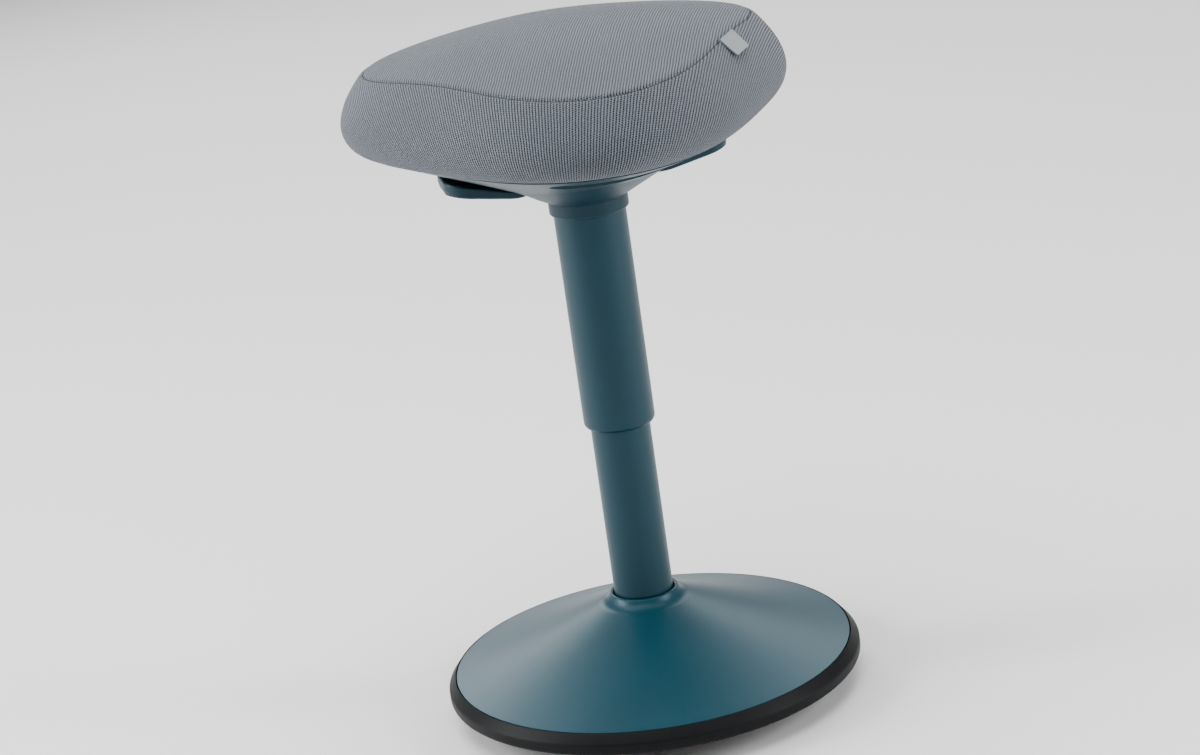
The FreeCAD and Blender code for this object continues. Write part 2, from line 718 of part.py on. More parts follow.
def build_hub():
    """Seat hub: taper socket, two cheeks for the lever pins and the plate under the board."""
    socket = solid("Cylinder", "hub_socket", {"Radius": "hub_radius", "Height": "socket_seat_length"},
                   ("0", "0", "collar_top"))
    pieces = [socket]
    cheek_foot = "(" + PIVOT_HEIGHT + " - cheek_drop)"
    for name, edge in (("near", "-cheek_gap / 2 - cheek_wall"), ("far", "cheek_gap / 2")):
        sizes = {"Length": "2 * cheek_half_length", "Width": "cheek_wall"}
        sizes["Height"] = PLATE_FOOT + " - " + cheek_foot
        pieces.append(solid("Box", "cheek_" + name, sizes, ("-cheek_half_length", edge, cheek_foot)))
    sizes = {"Length": "plate_length", "Width": "plate_width", "Height": "plate_wall"}
    plate = solid("Box", "hub_plate_blank", sizes, ("-plate_length / 2", "-plate_width / 2", PLATE_FOOT))
    pieces.append(softened("hub_plate", plate, size("plate_corner"), is_upright))
    whole = fuse("hub_whole", pieces)
    cone = {"Radius1": "cylinder_radius", "Radius2": "cylinder_radius - cylinder_taper"}
    cone["Height"] = "cylinder_rise"
    tools = [solid("Cone", "hub_taper", cone, ("0", "0", "collar_top"))]
    span = "2 * cheek_wall + cheek_gap"
    for name, reach in (("left", "-lever_pivot_reach"), ("right", "lever_pivot_reach")):
        sizes = {"Radius": "lever_pin_radius", "Height": span}
        place = (reach, "-cheek_gap / 2 - cheek_wall", PIVOT_HEIGHT)
        tools.append(solid("Cylinder", "pin_hole_" + name, sizes, place, ACROSS))
    bored = cut("hub_bored", whole, group("hub_bores", tools))
    corners = hub_screw_places()
    hole = "hub_screw_radius + bolt_play"
    keep(drilled("hub", bored, corners, hole, PLATE_FOOT + " - bolt_play", "2 * plate_wall"), "seat_hub")
    screws("hub_screws", corners, "hub_screw_radius", PLATE_FOOT, "plate_wall + hub_screw_bite",
           "hub_screw_head_radius", "hub_screw_head_wall", up=True)
    pins = []
    for name, reach in (("left", "-lever_pivot_reach"), ("right", "lever_pivot_reach")):
        sizes = {"Radius": "lever_pin_radius", "Height": span}
        place = (reach, "-cheek_gap / 2 - cheek_wall", PIVOT_HEIGHT)
        pins.append(solid("Cylinder", "lever_pin_" + name, sizes, place, ACROSS))
    keep(group("lever_pins", pins), "lever_pins")


def hub_screw_places():
    """Corners of the rectangle of screws that hold the hub to the board."""
    across, along = "hub_screw_span_x / 2", "hub_screw_span_y / 2"
    return [(a + across, b + along) for a in ("", "-") for b in ("", "-")]


def padded(label, outline, width):
    """A body with an upright outline of (reach, height) pairs, spread evenly to both sides."""
    body = doc.addObject("PartDesign::Body", label)
    sketch = body.newObject("Sketcher::SketchObject", label + "_outline")
    sketch.AttachmentSupport = [(plane_of(body, "XZ_Plane"), "")]
    sketch.MapMode = "FlatFace"
    draw(sketch, outline, {})
    pad = body.newObject("PartDesign::Pad", label + "_pad")
    pad.Profile = sketch
    pad.Midplane = True
    pad.setExpression("Length", bound(width))
    body.Tip = pad
    doc.recompute()
    return body


def build_lever(label, angle):
    """One lever: paddle, cranked arm, pivot boss and the nose that sits in the spool."""
    tip_foot = BOARD_FOOT + " - lever_tip_drop"
    root_foot = BOARD_FOOT + " - lever_root_drop"
    blade = [("lever_root_reach", root_foot), ("lever_tip_reach", tip_foot)]
    blade.append(("lever_tip_reach", tip_foot + " + lever_tip_wall"))
    blade.append(("lever_root_reach", root_foot + " + lever_root_wall"))
    paddle = padded(label + "_paddle", blade, "lever_width")
    paddle_plan = softened(label + "_paddle_plan", paddle, size("lever_round"), is_upright)
    paddle_soft = softened(label + "_paddle_soft", paddle_plan, size("lever_edge_round"), any_edge)
    half_neck = "lever_nose_neck / 2"
    spool_edge = "(spool_radius + arm_spool_play)"
    arm_root = "lever_root_reach + arm_bite"
    arm = [(arm_root, root_foot + " + arm_skirt"), (arm_root, root_foot + " + arm_skirt + arm_wall")]
    arm.append(("lever_pivot_reach + arm_shoulder", PIVOT_HEIGHT + " + lever_boss_radius"))
    arm.append((spool_edge, NOSE_HEIGHT + " + " + half_neck))
    arm.append(("lever_nose_reach", NOSE_HEIGHT + " + " + half_neck))
    arm.append(("lever_nose_reach", NOSE_HEIGHT + " - " + half_neck))
    arm.append((spool_edge + " - arm_hollow", NOSE_HEIGHT + " - " + half_neck))
    heel_height = PIVOT_HEIGHT + " - lever_boss_radius + arm_heel_rise"
    arm.append(("lever_pivot_reach - arm_heel", heel_height))
    pieces = [paddle_soft, padded(label + "_arm", arm, "lever_arm_width")]
    sizes = {"Radius": "lever_nose_radius", "Height": "lever_arm_width"}
    place = ("lever_nose_reach", "-lever_arm_width / 2", NOSE_HEIGHT)
    pieces.append(solid("Cylinder", label + "_nose", sizes, place, ACROSS))
    sizes = {"Radius": "lever_boss_radius", "Height": "cheek_gap - 2 * lever_boss_play"}
    place = ("lever_pivot_reach", "lever_boss_play - cheek_gap / 2", PIVOT_HEIGHT)
    pieces.append(solid("Cylinder", label + "_boss", sizes, place, ACROSS))
    sizes = {"Radius": "lever_pin_radius + pin_play", "Height": "cheek_gap"}
    place = ("lever_pivot_reach", "-cheek_gap / 2", PIVOT_HEIGHT)
    bore = solid("Cylinder", label + "_bore", sizes, place, ACROSS)
    lever = cut(label + "_whole", fuse(label + "_blank", pieces), bore)
    lever.Placement = FreeCAD.Placement(Vector(), FreeCAD.Rotation(Vector(0, 0, 1), angle))
    keep(lever, label)


def soft_slab(middle, along, length, width, corner, foot, top):
    """Upright slab with rounded corners, centred on (middle, along)."""
    spot = Vector(middle - length / 2, along - width / 2, foot)
    box = Part.makeBox(length, width, top - foot, spot)
    return box.makeFillet(corner, [edge for edge in box.Edges if is_upright(edge)])


def funnel(drop, inset, top):
    """Solid inside of the underside form, raised by drop and drawn in by inset."""
    neck = size("collar_radius")
    knee = size("shell_knee_radius")
    rings = [soft_ring(neck, 0.0, 0.0, size("collar_top") + drop)]
    rings.append(soft_ring(knee, 0.0, 0.0, size(KNEE_HEIGHT) + drop))
    if inset == 0:
        rings.append(seat_ring(size("rim_inset"), size(RIM_FOOT)))
    rings.append(seat_ring(size("rim_inset") + inset, top))
    return Part.makeLoft(rings, True, True)


def shell_screw_places():
    """Places of the screws that hold the shell to the board, between the levers and the grip."""
    return [("%s * cos(%s)" % (SCREW_CIRCLE, angle), "%s * sin(%s)" % (SCREW_CIRCLE, angle))
            for angle in SHELL_SCREW_ANGLES]


def build_shell():
    """Underside shell with lever windows and grip pocket, and its screws."""
    slope = size("shell_knee_rise") / (size("shell_knee_radius") - size("collar_radius"))
    lift = size("shell_wall") * math.sqrt(1 + slope ** 2)
    outside = funnel(0.0, 0.0, size(CUSHION_FOOT))
    inside = funnel(lift, size("rim_bead"), size(CUSHION_FOOT))
    shell = outside.cut(inside)
    foot = size("collar_top")
    board = size(BOARD_FOOT)
    boss_places = [(size(across), size(along)) for across, along in shell_screw_places()]
    for across, along in boss_places:
        boss = Part.makeCylinder(size("shell_boss_radius"), board - foot, Vector(across, along, foot))
        shell = shell.fuse(boss.common(outside))
    shell = shell.cut(Part.makeCylinder(size("hub_radius + bolt_play"), board, Vector(0, 0, 0)))
    play = size("window_play")
    near = size("lever_root_reach - window_root_play")
    far = size("lever_tip_reach + window_play")
    width = size("lever_width") + 2 * play
    corner = size("lever_round") + play
    for side in (-1, 1):
        middle = side * (near + far) / 2
        shell = shell.cut(soft_slab(middle, 0.0, far - near, width, corner, foot, board + play))
    across, along = size("grip_width"), size("grip_depth")
    round_off, wall = size("grip_round"), size("grip_wall")
    centre = -size(GRIP_CENTRE)
    roof = board - size("grip_cover")
    outer = soft_slab(0.0, centre, across, along, round_off, foot, roof)
    inner = soft_slab(0.0, centre, across - 2 * wall, along - 2 * wall, round_off - wall, foot, roof - wall)
    shell = shell.cut(outer)
    seat = board - size("shell_boss_depth")
    head = size("screw_head_radius + bolt_play")
    for across, along in boss_places:
        shell = shell.cut(Part.makeCylinder(head, seat - foot, Vector(across, along, foot)))
        stem = size("shell_screw_radius + bolt_play")
        shell = shell.cut(Part.makeCylinder(stem, board, Vector(across, along, foot)))
    formed("seat_shell", shell.removeSplitter())
    formed("grip_liner", outer.cut(inner).common(outside))
    screws("shell_screws", shell_screw_places(), "shell_screw_radius",
           BOARD_FOOT + " - shell_boss_depth", "shell_boss_depth + shell_screw_bite",
           "screw_head_radius", "screw_head_wall", up=True)


def cushion(inward):
    """Solid cushion form, drawn in all over by inward except at its flat foot."""
    foot, waist, seam = size(CUSHION_FOOT), size(WAIST_HEIGHT), size(SEAM_HEIGHT)
    radius, swell = size("seat_radius"), size("corner_swell")
    rings = []
    for step in ROLL_STEPS:
        roll = size("cushion_foot_inset") * (1 - math.sqrt(1 - (1 - step) ** 2))
        rings.append(seat_ring(roll + inward, foot + (waist - foot) * step))
    for step in BAND_STEPS:
        lean = size("seam_inset") * step ** BAND_POWER
        rings.append(seat_ring(lean + inward, waist + (seam - waist) * step))
    for share in CROWN_STEPS:
        inset = (size("seam_inset") + inward) * share
        height = seam + size("crown_rise") * (1 - share ** CROWN_POWER) - inward
        rings.append(soft_ring(radius * share, swell, inset, height))
    return Part.makeLoft(rings, True, True)


def build_seat():
    """Board, foam, the two fabric panels and the bare label tab."""
    foot = size(BOARD_FOOT)
    top = foot + size("board_wall")
    inset = size("board_inset")
    blank = Part.makeLoft([seat_ring(inset, foot), seat_ring(inset, top)], True, True)
    board = blank
    for across, along in hub_screw_places():
        spot = Vector(size(across), size(along), foot)
        board = board.cut(Part.makeCylinder(size("hub_screw_radius"), size("hub_screw_bite"), spot))
    for across, along in shell_screw_places():
        spot = Vector(size(across), size(along), foot)
        board = board.cut(Part.makeCylinder(size("shell_screw_radius"), size("shell_screw_bite"), spot))
    formed("seat_board", board)
    outer = cushion(0.0)
    inner = cushion(size("cloth_wall"))
    formed("seat_foam", inner.cut(blank))
    skin = outer.cut(inner)
    reach = size("seat_radius") * 2
    seam = size(SEAM_HEIGHT)
    low = Part.makeBox(2 * reach, 2 * reach, seam, Vector(-reach, -reach, 0))
    formed("cover_band", skin.common(low))
    formed("cover_top", skin.cut(low))


def build_label():
    """Small folded tab sewn into the seam, square to its run, left bare."""
    width, wall, drop = size("label_width"), size("label_wall"), size("label_drop")
    turn = math.radians(size("label_angle"))
    radius, swell = size("seat_radius"), size("corner_swell")
    seam_reach = radius * (1 + swell * math.cos(CORNERS * turn)) - size("seam_inset")
    seam_slope = CORNERS * radius * swell * math.sin(CORNERS * turn) / seam_reach
    reach = seam_reach + size("label_clearance")
    tab = Part.makeBox(width, wall, drop, Vector(-width / 2, -wall, -drop))
    lean = FreeCAD.Rotation(Vector(1, 0, 0), -size("label_lean"))
    spin = FreeCAD.Rotation(Vector(0, 0, 1), math.degrees(turn + math.atan(seam_slope)))
    spot = Vector(reach * math.sin(turn), -reach * math.cos(turn), size(SEAM_HEIGHT))
    formed("label_tab", tab, FreeCAD.Placement(spot, spin.multiply(lean)))


def check_and_export():
    """Stop on any failed object or bad shape, then write each node."""
    doc.recompute()
    failed = [item.Name for item in doc.Objects if "Invalid" in item.State or "Error" in item.State]
    if failed:
        raise RuntimeError("failed objects: %s" % ", ".join(failed))
    for item in nodes:
        if item.Shape.isNull() or not item.Shape.isValid():
            raise RuntimeError("bad shape: " + item.Label)
    os.makedirs("parts", exist_ok=True)
    for item in nodes:
        item.Shape.exportStep("parts/%s.step" % item.Label)
        box = item.Shape.BoundBox
        print("%-20s solids %2d  volume %10.1f  z %6.1f to %6.1f" % (
            item.Label, len(item.Shape.Solids), item.Shape.Volume, box.ZMin, box.ZMax))


build_base()
build_column()
build_bearing()
build_piston()
build_cylinder()
build_sleeve()
build_hub()
build_lever("left_lever", 180)
build_lever("right_lever", 0)
build_shell()
build_seat()
build_label()
check_and_export()
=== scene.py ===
"""Wobble stool: a three-cornered padded seat on a gas-lift column over a weighted rocking base."""

import logging
import math
from dataclasses import dataclass
from enum import Enum
from functools import cached_property
from typing import Any, Sequence

import bpy
import numpy as np
from mathutils import Matrix, Vector


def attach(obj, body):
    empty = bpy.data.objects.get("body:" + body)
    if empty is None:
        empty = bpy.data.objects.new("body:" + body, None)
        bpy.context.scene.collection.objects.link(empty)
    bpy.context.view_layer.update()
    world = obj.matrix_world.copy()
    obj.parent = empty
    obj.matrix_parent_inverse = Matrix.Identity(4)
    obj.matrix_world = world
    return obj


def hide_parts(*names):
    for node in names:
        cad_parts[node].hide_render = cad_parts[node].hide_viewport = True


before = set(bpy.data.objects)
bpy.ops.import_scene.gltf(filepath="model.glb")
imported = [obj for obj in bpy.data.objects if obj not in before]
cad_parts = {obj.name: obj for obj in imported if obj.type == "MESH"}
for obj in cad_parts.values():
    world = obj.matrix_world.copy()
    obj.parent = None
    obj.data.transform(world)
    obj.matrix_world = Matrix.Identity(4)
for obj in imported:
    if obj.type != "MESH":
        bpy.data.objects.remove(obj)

Colour = tuple[float, float, float]
Place = tuple[float, float, float]
Range = tuple[float, float]
Shares = tuple[float, ...]
Marks = tuple[tuple[float, float], ...]
Stop = tuple[float, Colour]
Socket = bpy.types.NodeSocket
log = logging.getLogger("wobble_stool")

WHITE = (1.0, 1.0, 1.0)
WEAVE = "weave"


class Slot(Enum):
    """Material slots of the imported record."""

    RUBBER = "rubber_black"
    PLASTIC = "petrol_plastic"
    KNIT = "knit_fabric"
    FOAM = "foam"
    TAPE = "label_cloth"


class Body(Enum):
    """Bodies of the mechanism that new pieces ride on."""

    BASE = "base"
    SEAT = "seat"
    LEFT_LEVER = "left_lever"
    RIGHT_LEVER = "right_lever"


@dataclass(frozen=True)
class Grain:
    """A noise texture: grains in each metre, octaves and the weight of the finer ones."""

    scale: float
    detail: float = 2.0
    roughness: float = 0.5


class NodeBoard:
    """The node tree of one material, with short ways to add and wire nodes."""

    # Places of the Mix node's colour sockets.
    mix_inputs = (6, 7)
    mix_output = 2

    def __init__(self, name: str) -> None:
        """Start a material with a bare principled shader.

        Args:
            name: Name of the material.
        """
        self.material = bpy.data.materials.new(name)
        self.material.use_nodes = True
        self.tree = self.material.node_tree
        self.shader = self.tree.nodes["Principled BSDF"]

    def add(
        self, kind: str, inputs: dict[str, Any] | None = None, **settings: Any
    ) -> bpy.types.Node:
        """Add a shader node.

        Args:
            kind: Node type without its ShaderNode prefix.
            inputs: Values or sockets for its inputs, by input name.
            settings: Attributes of the node itself.

        Returns:
            The new node.
        """
        node = self.tree.nodes.new("ShaderNode" + kind)
        for key, value in settings.items():
            setattr(node, key, value)
        for key, value in (inputs or {}).items():
            self.feed(node.inputs[key], value)
        return node

    def feed(self, socket: Socket, value: Any) -> None:
        """Wire a socket to an input, or set the input's value.

        Args:
            socket: The input.
            value: Socket or value that it takes.
        """
        if isinstance(value, Socket):
            self.tree.links.new(value, socket)
        else:
            socket.default_value = value

    def calc(self, operation: str, *values: Any) -> Socket:
        """Add a Math node.

        Args:
            operation: Blender's name of the operation.
            values: Numbers or sockets, in the order of its inputs.

        Returns:
            The socket with its result.
        """
        node = self.add("Math", operation=operation)
        for socket, value in zip(node.inputs, values):
            self.feed(socket, value)
        return node.outputs[0]

    def noise(self, place: Socket, grain: Grain) -> Socket:
        """Read a noise texture at some coordinates."""
        inputs = {"Vector": place, "Scale": grain.scale, "Detail": grain.detail}
        return self.add("TexNoise", {**inputs, "Roughness": grain.roughness}).outputs[0]

    def mapped(self, place: Socket, **change: Place) -> Socket:
        """Turn or stretch coordinates."""
        return self.add("Mapping", {"Vector": place, **change}).outputs[0]

    def ramp(self, factor: Socket, stops: Sequence[Stop]) -> Socket:
        """Add a colour ramp.

        Args:
            factor: Value that picks the colour.
            stops: Positions with their colours.

        Returns:
            The socket with the colour.
        """
        node = self.add("ValToRGB", {"Fac": factor})
        marks = node.color_ramp.elements
        while len(marks) < len(stops):
            marks.new(1.0)
        for mark, (position, colour) in zip(marks, stops):
            mark.position = position
            mark.color = opaque(colour)
        return node.outputs[0]

    def tones(self, factor: Socket, tone: Colour, marks: Marks) -> Socket:
        """Add a colour ramp of one tone, from positions with their shares of the tone."""
        return self.ramp(factor, [(position, scaled(tone, share)) for position, share in marks])

    def spread(self, factor: Socket, limits: Range, base: float = 0.0) -> Socket:
        """Map a value of 0 to 1 onto a range that is counted from a base."""
        low, high = (base + limit for limit in limits)
        return self.add("MapRange", {"Value": factor, "To Min": low, "To Max": high}).outputs[0]

    def blend(self, factor: Any, first: Any, second: Any, kind: str = "MIX") -> Socket:
        """Mix two colours.

        Args:
            factor: Share of the second colour.
            first: First colour or socket.
            second: Second colour or socket.
            kind: Blender's name of the way to mix them.

        Returns:
            The socket with the mixed colour.
        """
        node = self.add("Mix", data_type="RGBA", blend_type=kind)
        self.feed(node.inputs[0], factor)
        for index, value in zip(self.mix_inputs, (first, second)):
            self.feed(node.inputs[index], opaque(value))
        return node.outputs[self.mix_output]

    def bump(self, height: Socket, distance: float) -> None:
        """Raise the surface by a height map, on top of any earlier relief.

        Args:
            height: The height map.
            distance: Height in metres where the map is 1.
        """
        node = self.add("Bump", {"Height": height, "Distance": distance, "Strength": 1.0})
        links = self.shader.inputs["Normal"].links
        if links:
            self.feed(node.inputs["Normal"], links[0].from_socket)
        self.feed(self.shader.inputs["Normal"], node.outputs[0])

    def place(self) -> Socket:
        """Coordinates in metres, fixed to the piece."""
        return self.add("TexCoord").outputs["Object"]

    def weave(self) -> Socket:
        """Cloth coordinates in metres, from the weave map."""
        return self.add("UVMap", uv_map=WEAVE).outputs[0]

    def finish(self, colour: Any, roughness: Any, **constants: Any) -> bpy.types.Material:
        """Give the shader its colour, roughness and constant inputs.

        Args:
            colour: Base colour or socket.
            roughness: Roughness or socket.
            constants: Other inputs of the shader, with underscores for spaces.

        Returns:
            The finished material.
        """
        self.feed(self.shader.inputs["Base Color"], opaque(colour))
        self.feed(self.shader.inputs["Roughness"], roughness)
        for key, value in constants.items():
            self.shader.inputs[key.replace("_", " ")].default_value = opaque(value)
        return self.material


def scaled(colour: Colour, share: float) -> Colour:
    """A colour made lighter or darker."""
    return (colour[0] * share, colour[1] * share, colour[2] * share)


def opaque(value: Any) -> Any:
    """A colour with full alpha. Anything else comes back as it is."""
    return (*value, 1.0) if isinstance(value, tuple) else value


@dataclass(frozen=True)
class Finish:
    """A look that a material is built from."""

    name: str
    tone: Colour

    @cached_property
    def material(self) -> bpy.types.Material:
        """The finish's one material, built at its first use."""
        return self.build()

    def build(self) -> bpy.types.Material:
        """Build the material."""
        raise NotImplementedError


@dataclass(frozen=True)
class Grained(Finish):
    """A slightly uneven tone with a fine grain in relief."""

    roughness: float
    unevenness: Range
    cloud: Grain
    cloud_marks: Marks
    grain: Grain
    grain_stretch: Place = (1.0, 1.0, 1.0)
    grain_depth: float = 0.0
    follows_cloud: bool = False
    fleck: Grain | None = None
    fleck_marks: Marks = ()
    shine: float = 0.5
    shine_tint: Colour = WHITE
    metallic: float = 0.0

    def build(self) -> bpy.types.Material:
        """Build the material.

        Returns:
            The material.
        """
        board = NodeBoard(self.name)
        place = board.place()
        cloud = board.noise(place, self.cloud)
        grain = board.noise(board.mapped(place, Scale=self.grain_stretch), self.grain)
        colour = board.tones(cloud, self.tone, self.cloud_marks)
        if self.fleck:
            fleck = board.tones(board.noise(place, self.fleck), WHITE, self.fleck_marks)
            colour = board.blend(1.0, colour, fleck, "MULTIPLY")
        if self.grain_depth:
            board.bump(grain, self.grain_depth)
        source = cloud if self.follows_cloud else grain
        constants = {"Specular_IOR_Level": self.shine, "Specular_Tint": self.shine_tint}
        roughness = board.spread(source, self.unevenness, self.roughness)
        return board.finish(colour, roughness, Metallic=self.metallic, **constants)


@dataclass(frozen=True)
class PaintedMetal(Grained):
    """Powder coat: matt, with a faint orange peel and a slightly uneven tone."""

    roughness: float = 0.42
    unevenness: Range = (-0.03, 0.04)
    follows_cloud: bool = True
    cloud: Grain = Grain(14.0, 3.0)
    cloud_marks: Marks = ((0.3, 0.93), (0.7, 1.07))
    fleck: Grain = Grain(2600.0, 1.0)
    fleck_marks: Marks = ((0.45, 0.96), (0.75, 1.08))
    grain: Grain = Grain(900.0)
    grain_depth: float = 0.00006
    shine: float = 0.34
    shine_tint: Colour = (0.7, 0.92, 1.0)


@dataclass(frozen=True)
class MouldedPlastic(Grained):
    """Spark-eroded moulded plastic: a fine even grain."""

    roughness: float = 0.45
    unevenness: Range = (-0.05, 0.07)
    cloud: Grain = Grain(22.0, 3.0)
    cloud_marks: Marks = ((0.3, 0.92), (0.7, 1.08))
    grain: Grain = Grain(2200.0, 2.0, 0.6)
    grain_depth: float = 0.00005
    shine: float = 0.3
    shine_tint: Colour = (0.75, 0.93, 1.0)


@dataclass(frozen=True)
class SatinRubber(Grained):
    """Charcoal rubber: soft sheen, fine grain and a little dust."""

    roughness: float = 0.5
    unevenness: Range = (-0.06, 0.08)
    follows_cloud: bool = True
    cloud: Grain = Grain(18.0, 4.0)
    cloud_marks: Marks = ((0.3, 0.85), (0.75, 1.2))
    grain: Grain = Grain(1500.0, 2.0, 0.6)
    grain_depth: float = 0.00008
    shine: float = 0.13


@dataclass(frozen=True)
class SewingThread(Grained):
    """Twisted polyester thread."""

    roughness: float = 0.55
    unevenness: Range = (0.0, 0.2)
    cloud: Grain = Grain(2600.0)
    cloud_marks: Marks = ((0.3, 0.7), (0.7, 1.2))
    grain: Grain = Grain(2600.0)
    grain_depth: float = 0.0001


@dataclass(frozen=True)
class BareMetal(Grained):
    """Ground and polished steel."""

    roughness: float = 0.35
    unevenness: Range = (-0.08, 0.12)
    cloud: Grain = Grain(30.0, 4.0)
    cloud_marks: Marks = ((0.3, 0.85), (0.7, 1.1))
    grain: Grain = Grain(60.0)
    metallic: float = 1.0


@dataclass(frozen=True)
class CastMetal(BareMetal):
    """Iron or alloy with the pits of its mould."""

    grain: Grain = Grain(420.0, 4.0, 0.65)
    grain_depth: float = 0.0003
    metallic: float = 0.85


@dataclass(frozen=True)
class TurnedSteel(BareMetal):
    """Steel with the fine rings that a lathe leaves."""

    grain: Grain = Grain(2400.0)
    grain_stretch: Place = (0.05, 0.05, 1.0)
    grain_depth: float = 0.00003


@dataclass(frozen=True)
class DrawnSteel(TurnedSteel):
    """Steel drawn to its size, with fine lines along it."""

    grain_stretch: Place = (1.0, 1.0, 0.02)


@dataclass(frozen=True)
class Plywood(Finish):
    """Birch plywood: long grain on its faces, plies round its edge."""

    dark: Colour
    ply: float = 0.0015
    ply_tint: float = 0.35
    grain: Grain = Grain(260.0, 4.0, 0.6)
    grain_stretch: Place = (1.0, 0.06, 1.0)
    grain_limits: Range = (0.35, 0.7)
    grain_depth: float = 0.0001
    roughness: Range = (0.6, 0.75)

    def build(self) -> bpy.types.Material:
        """Build the material.

        Returns:
            The material.
        """
        board = NodeBoard(self.name)
        place = board.place()
        height = board.add("SeparateXYZ", {"Vector": place}).outputs[2]
        layer = board.calc("FRACT", board.calc("DIVIDE", height, 2.0 * self.ply))
        ply = board.calc("GREATER_THAN", layer, 0.5)
        grain = board.noise(board.mapped(place, Scale=self.grain_stretch), self.grain)
        face = board.ramp(grain, list(zip(self.grain_limits, (self.tone, self.dark))))
        colour = board.blend(board.calc("MULTIPLY", ply, self.ply_tint), face, self.dark)
        board.bump(grain, self.grain_depth)
        return board.finish(colour, board.spread(grain, self.roughness))


@dataclass(frozen=True)
class Patterned(Finish):
    """A soft surface whose tone, relief and roughness all follow one pattern."""

    marks: Marks
    relief: float
    roughness: Range
    fuzz: float

    def pattern(self, board: NodeBoard) -> Socket:
        """The pattern, from 0 to 1."""
        raise NotImplementedError

    def build(self) -> bpy.types.Material:
        """Build the material.

        Returns:
            The material.
        """
        board = NodeBoard(self.name)
        pattern = self.pattern(board)
        colour = board.tones(pattern, self.tone, self.marks)
        board.bump(pattern, self.relief)
        return board.finish(colour, board.spread(pattern, self.roughness), Sheen_Weight=self.fuzz)


@dataclass(frozen=True)
class OpenFoam(Patterned):
    """Moulded foam: fine open cells under a thin skin."""

    marks: Marks = ((0.2, 0.72), (0.7, 1.0))
    relief: float = 0.0004
    roughness: Range = (0.85, 0.95)
    fuzz: float = 0.1
    cell_scale: float = 900.0

    def pattern(self, board: NodeBoard) -> Socket:
        """The foam's cells."""
        inputs = {"Vector": board.place(), "Scale": self.cell_scale}
        return board.add("TexVoronoi", inputs).outputs[0]


@dataclass(frozen=True)
class WovenTape(Patterned):
    """Plain woven tape: fine warp and weft, read from the weave map."""

    marks: Marks = ((0.0, 0.84), (1.0, 1.1))
    relief: float = 0.00012
    roughness: Range = (0.55, 0.7)
    fuzz: float = 0.15
    thread: float = 0.0005

    def pattern(self, board: NodeBoard) -> Socket:
        """Args:
            board: The material's nodes.

        Returns:
            The socket with the check, from 0 to 1.
        """
        split = board.add("SeparateXYZ", {"Vector": board.weave()})
        turns = [board.calc("MULTIPLY", split.outputs[i], math.pi / self.thread) for i in (0, 1)]
        check = board.calc("MULTIPLY", *(board.calc("SINE", turn) for turn in turns))
        return board.calc("MULTIPLY_ADD", check, 0.5, 0.5)


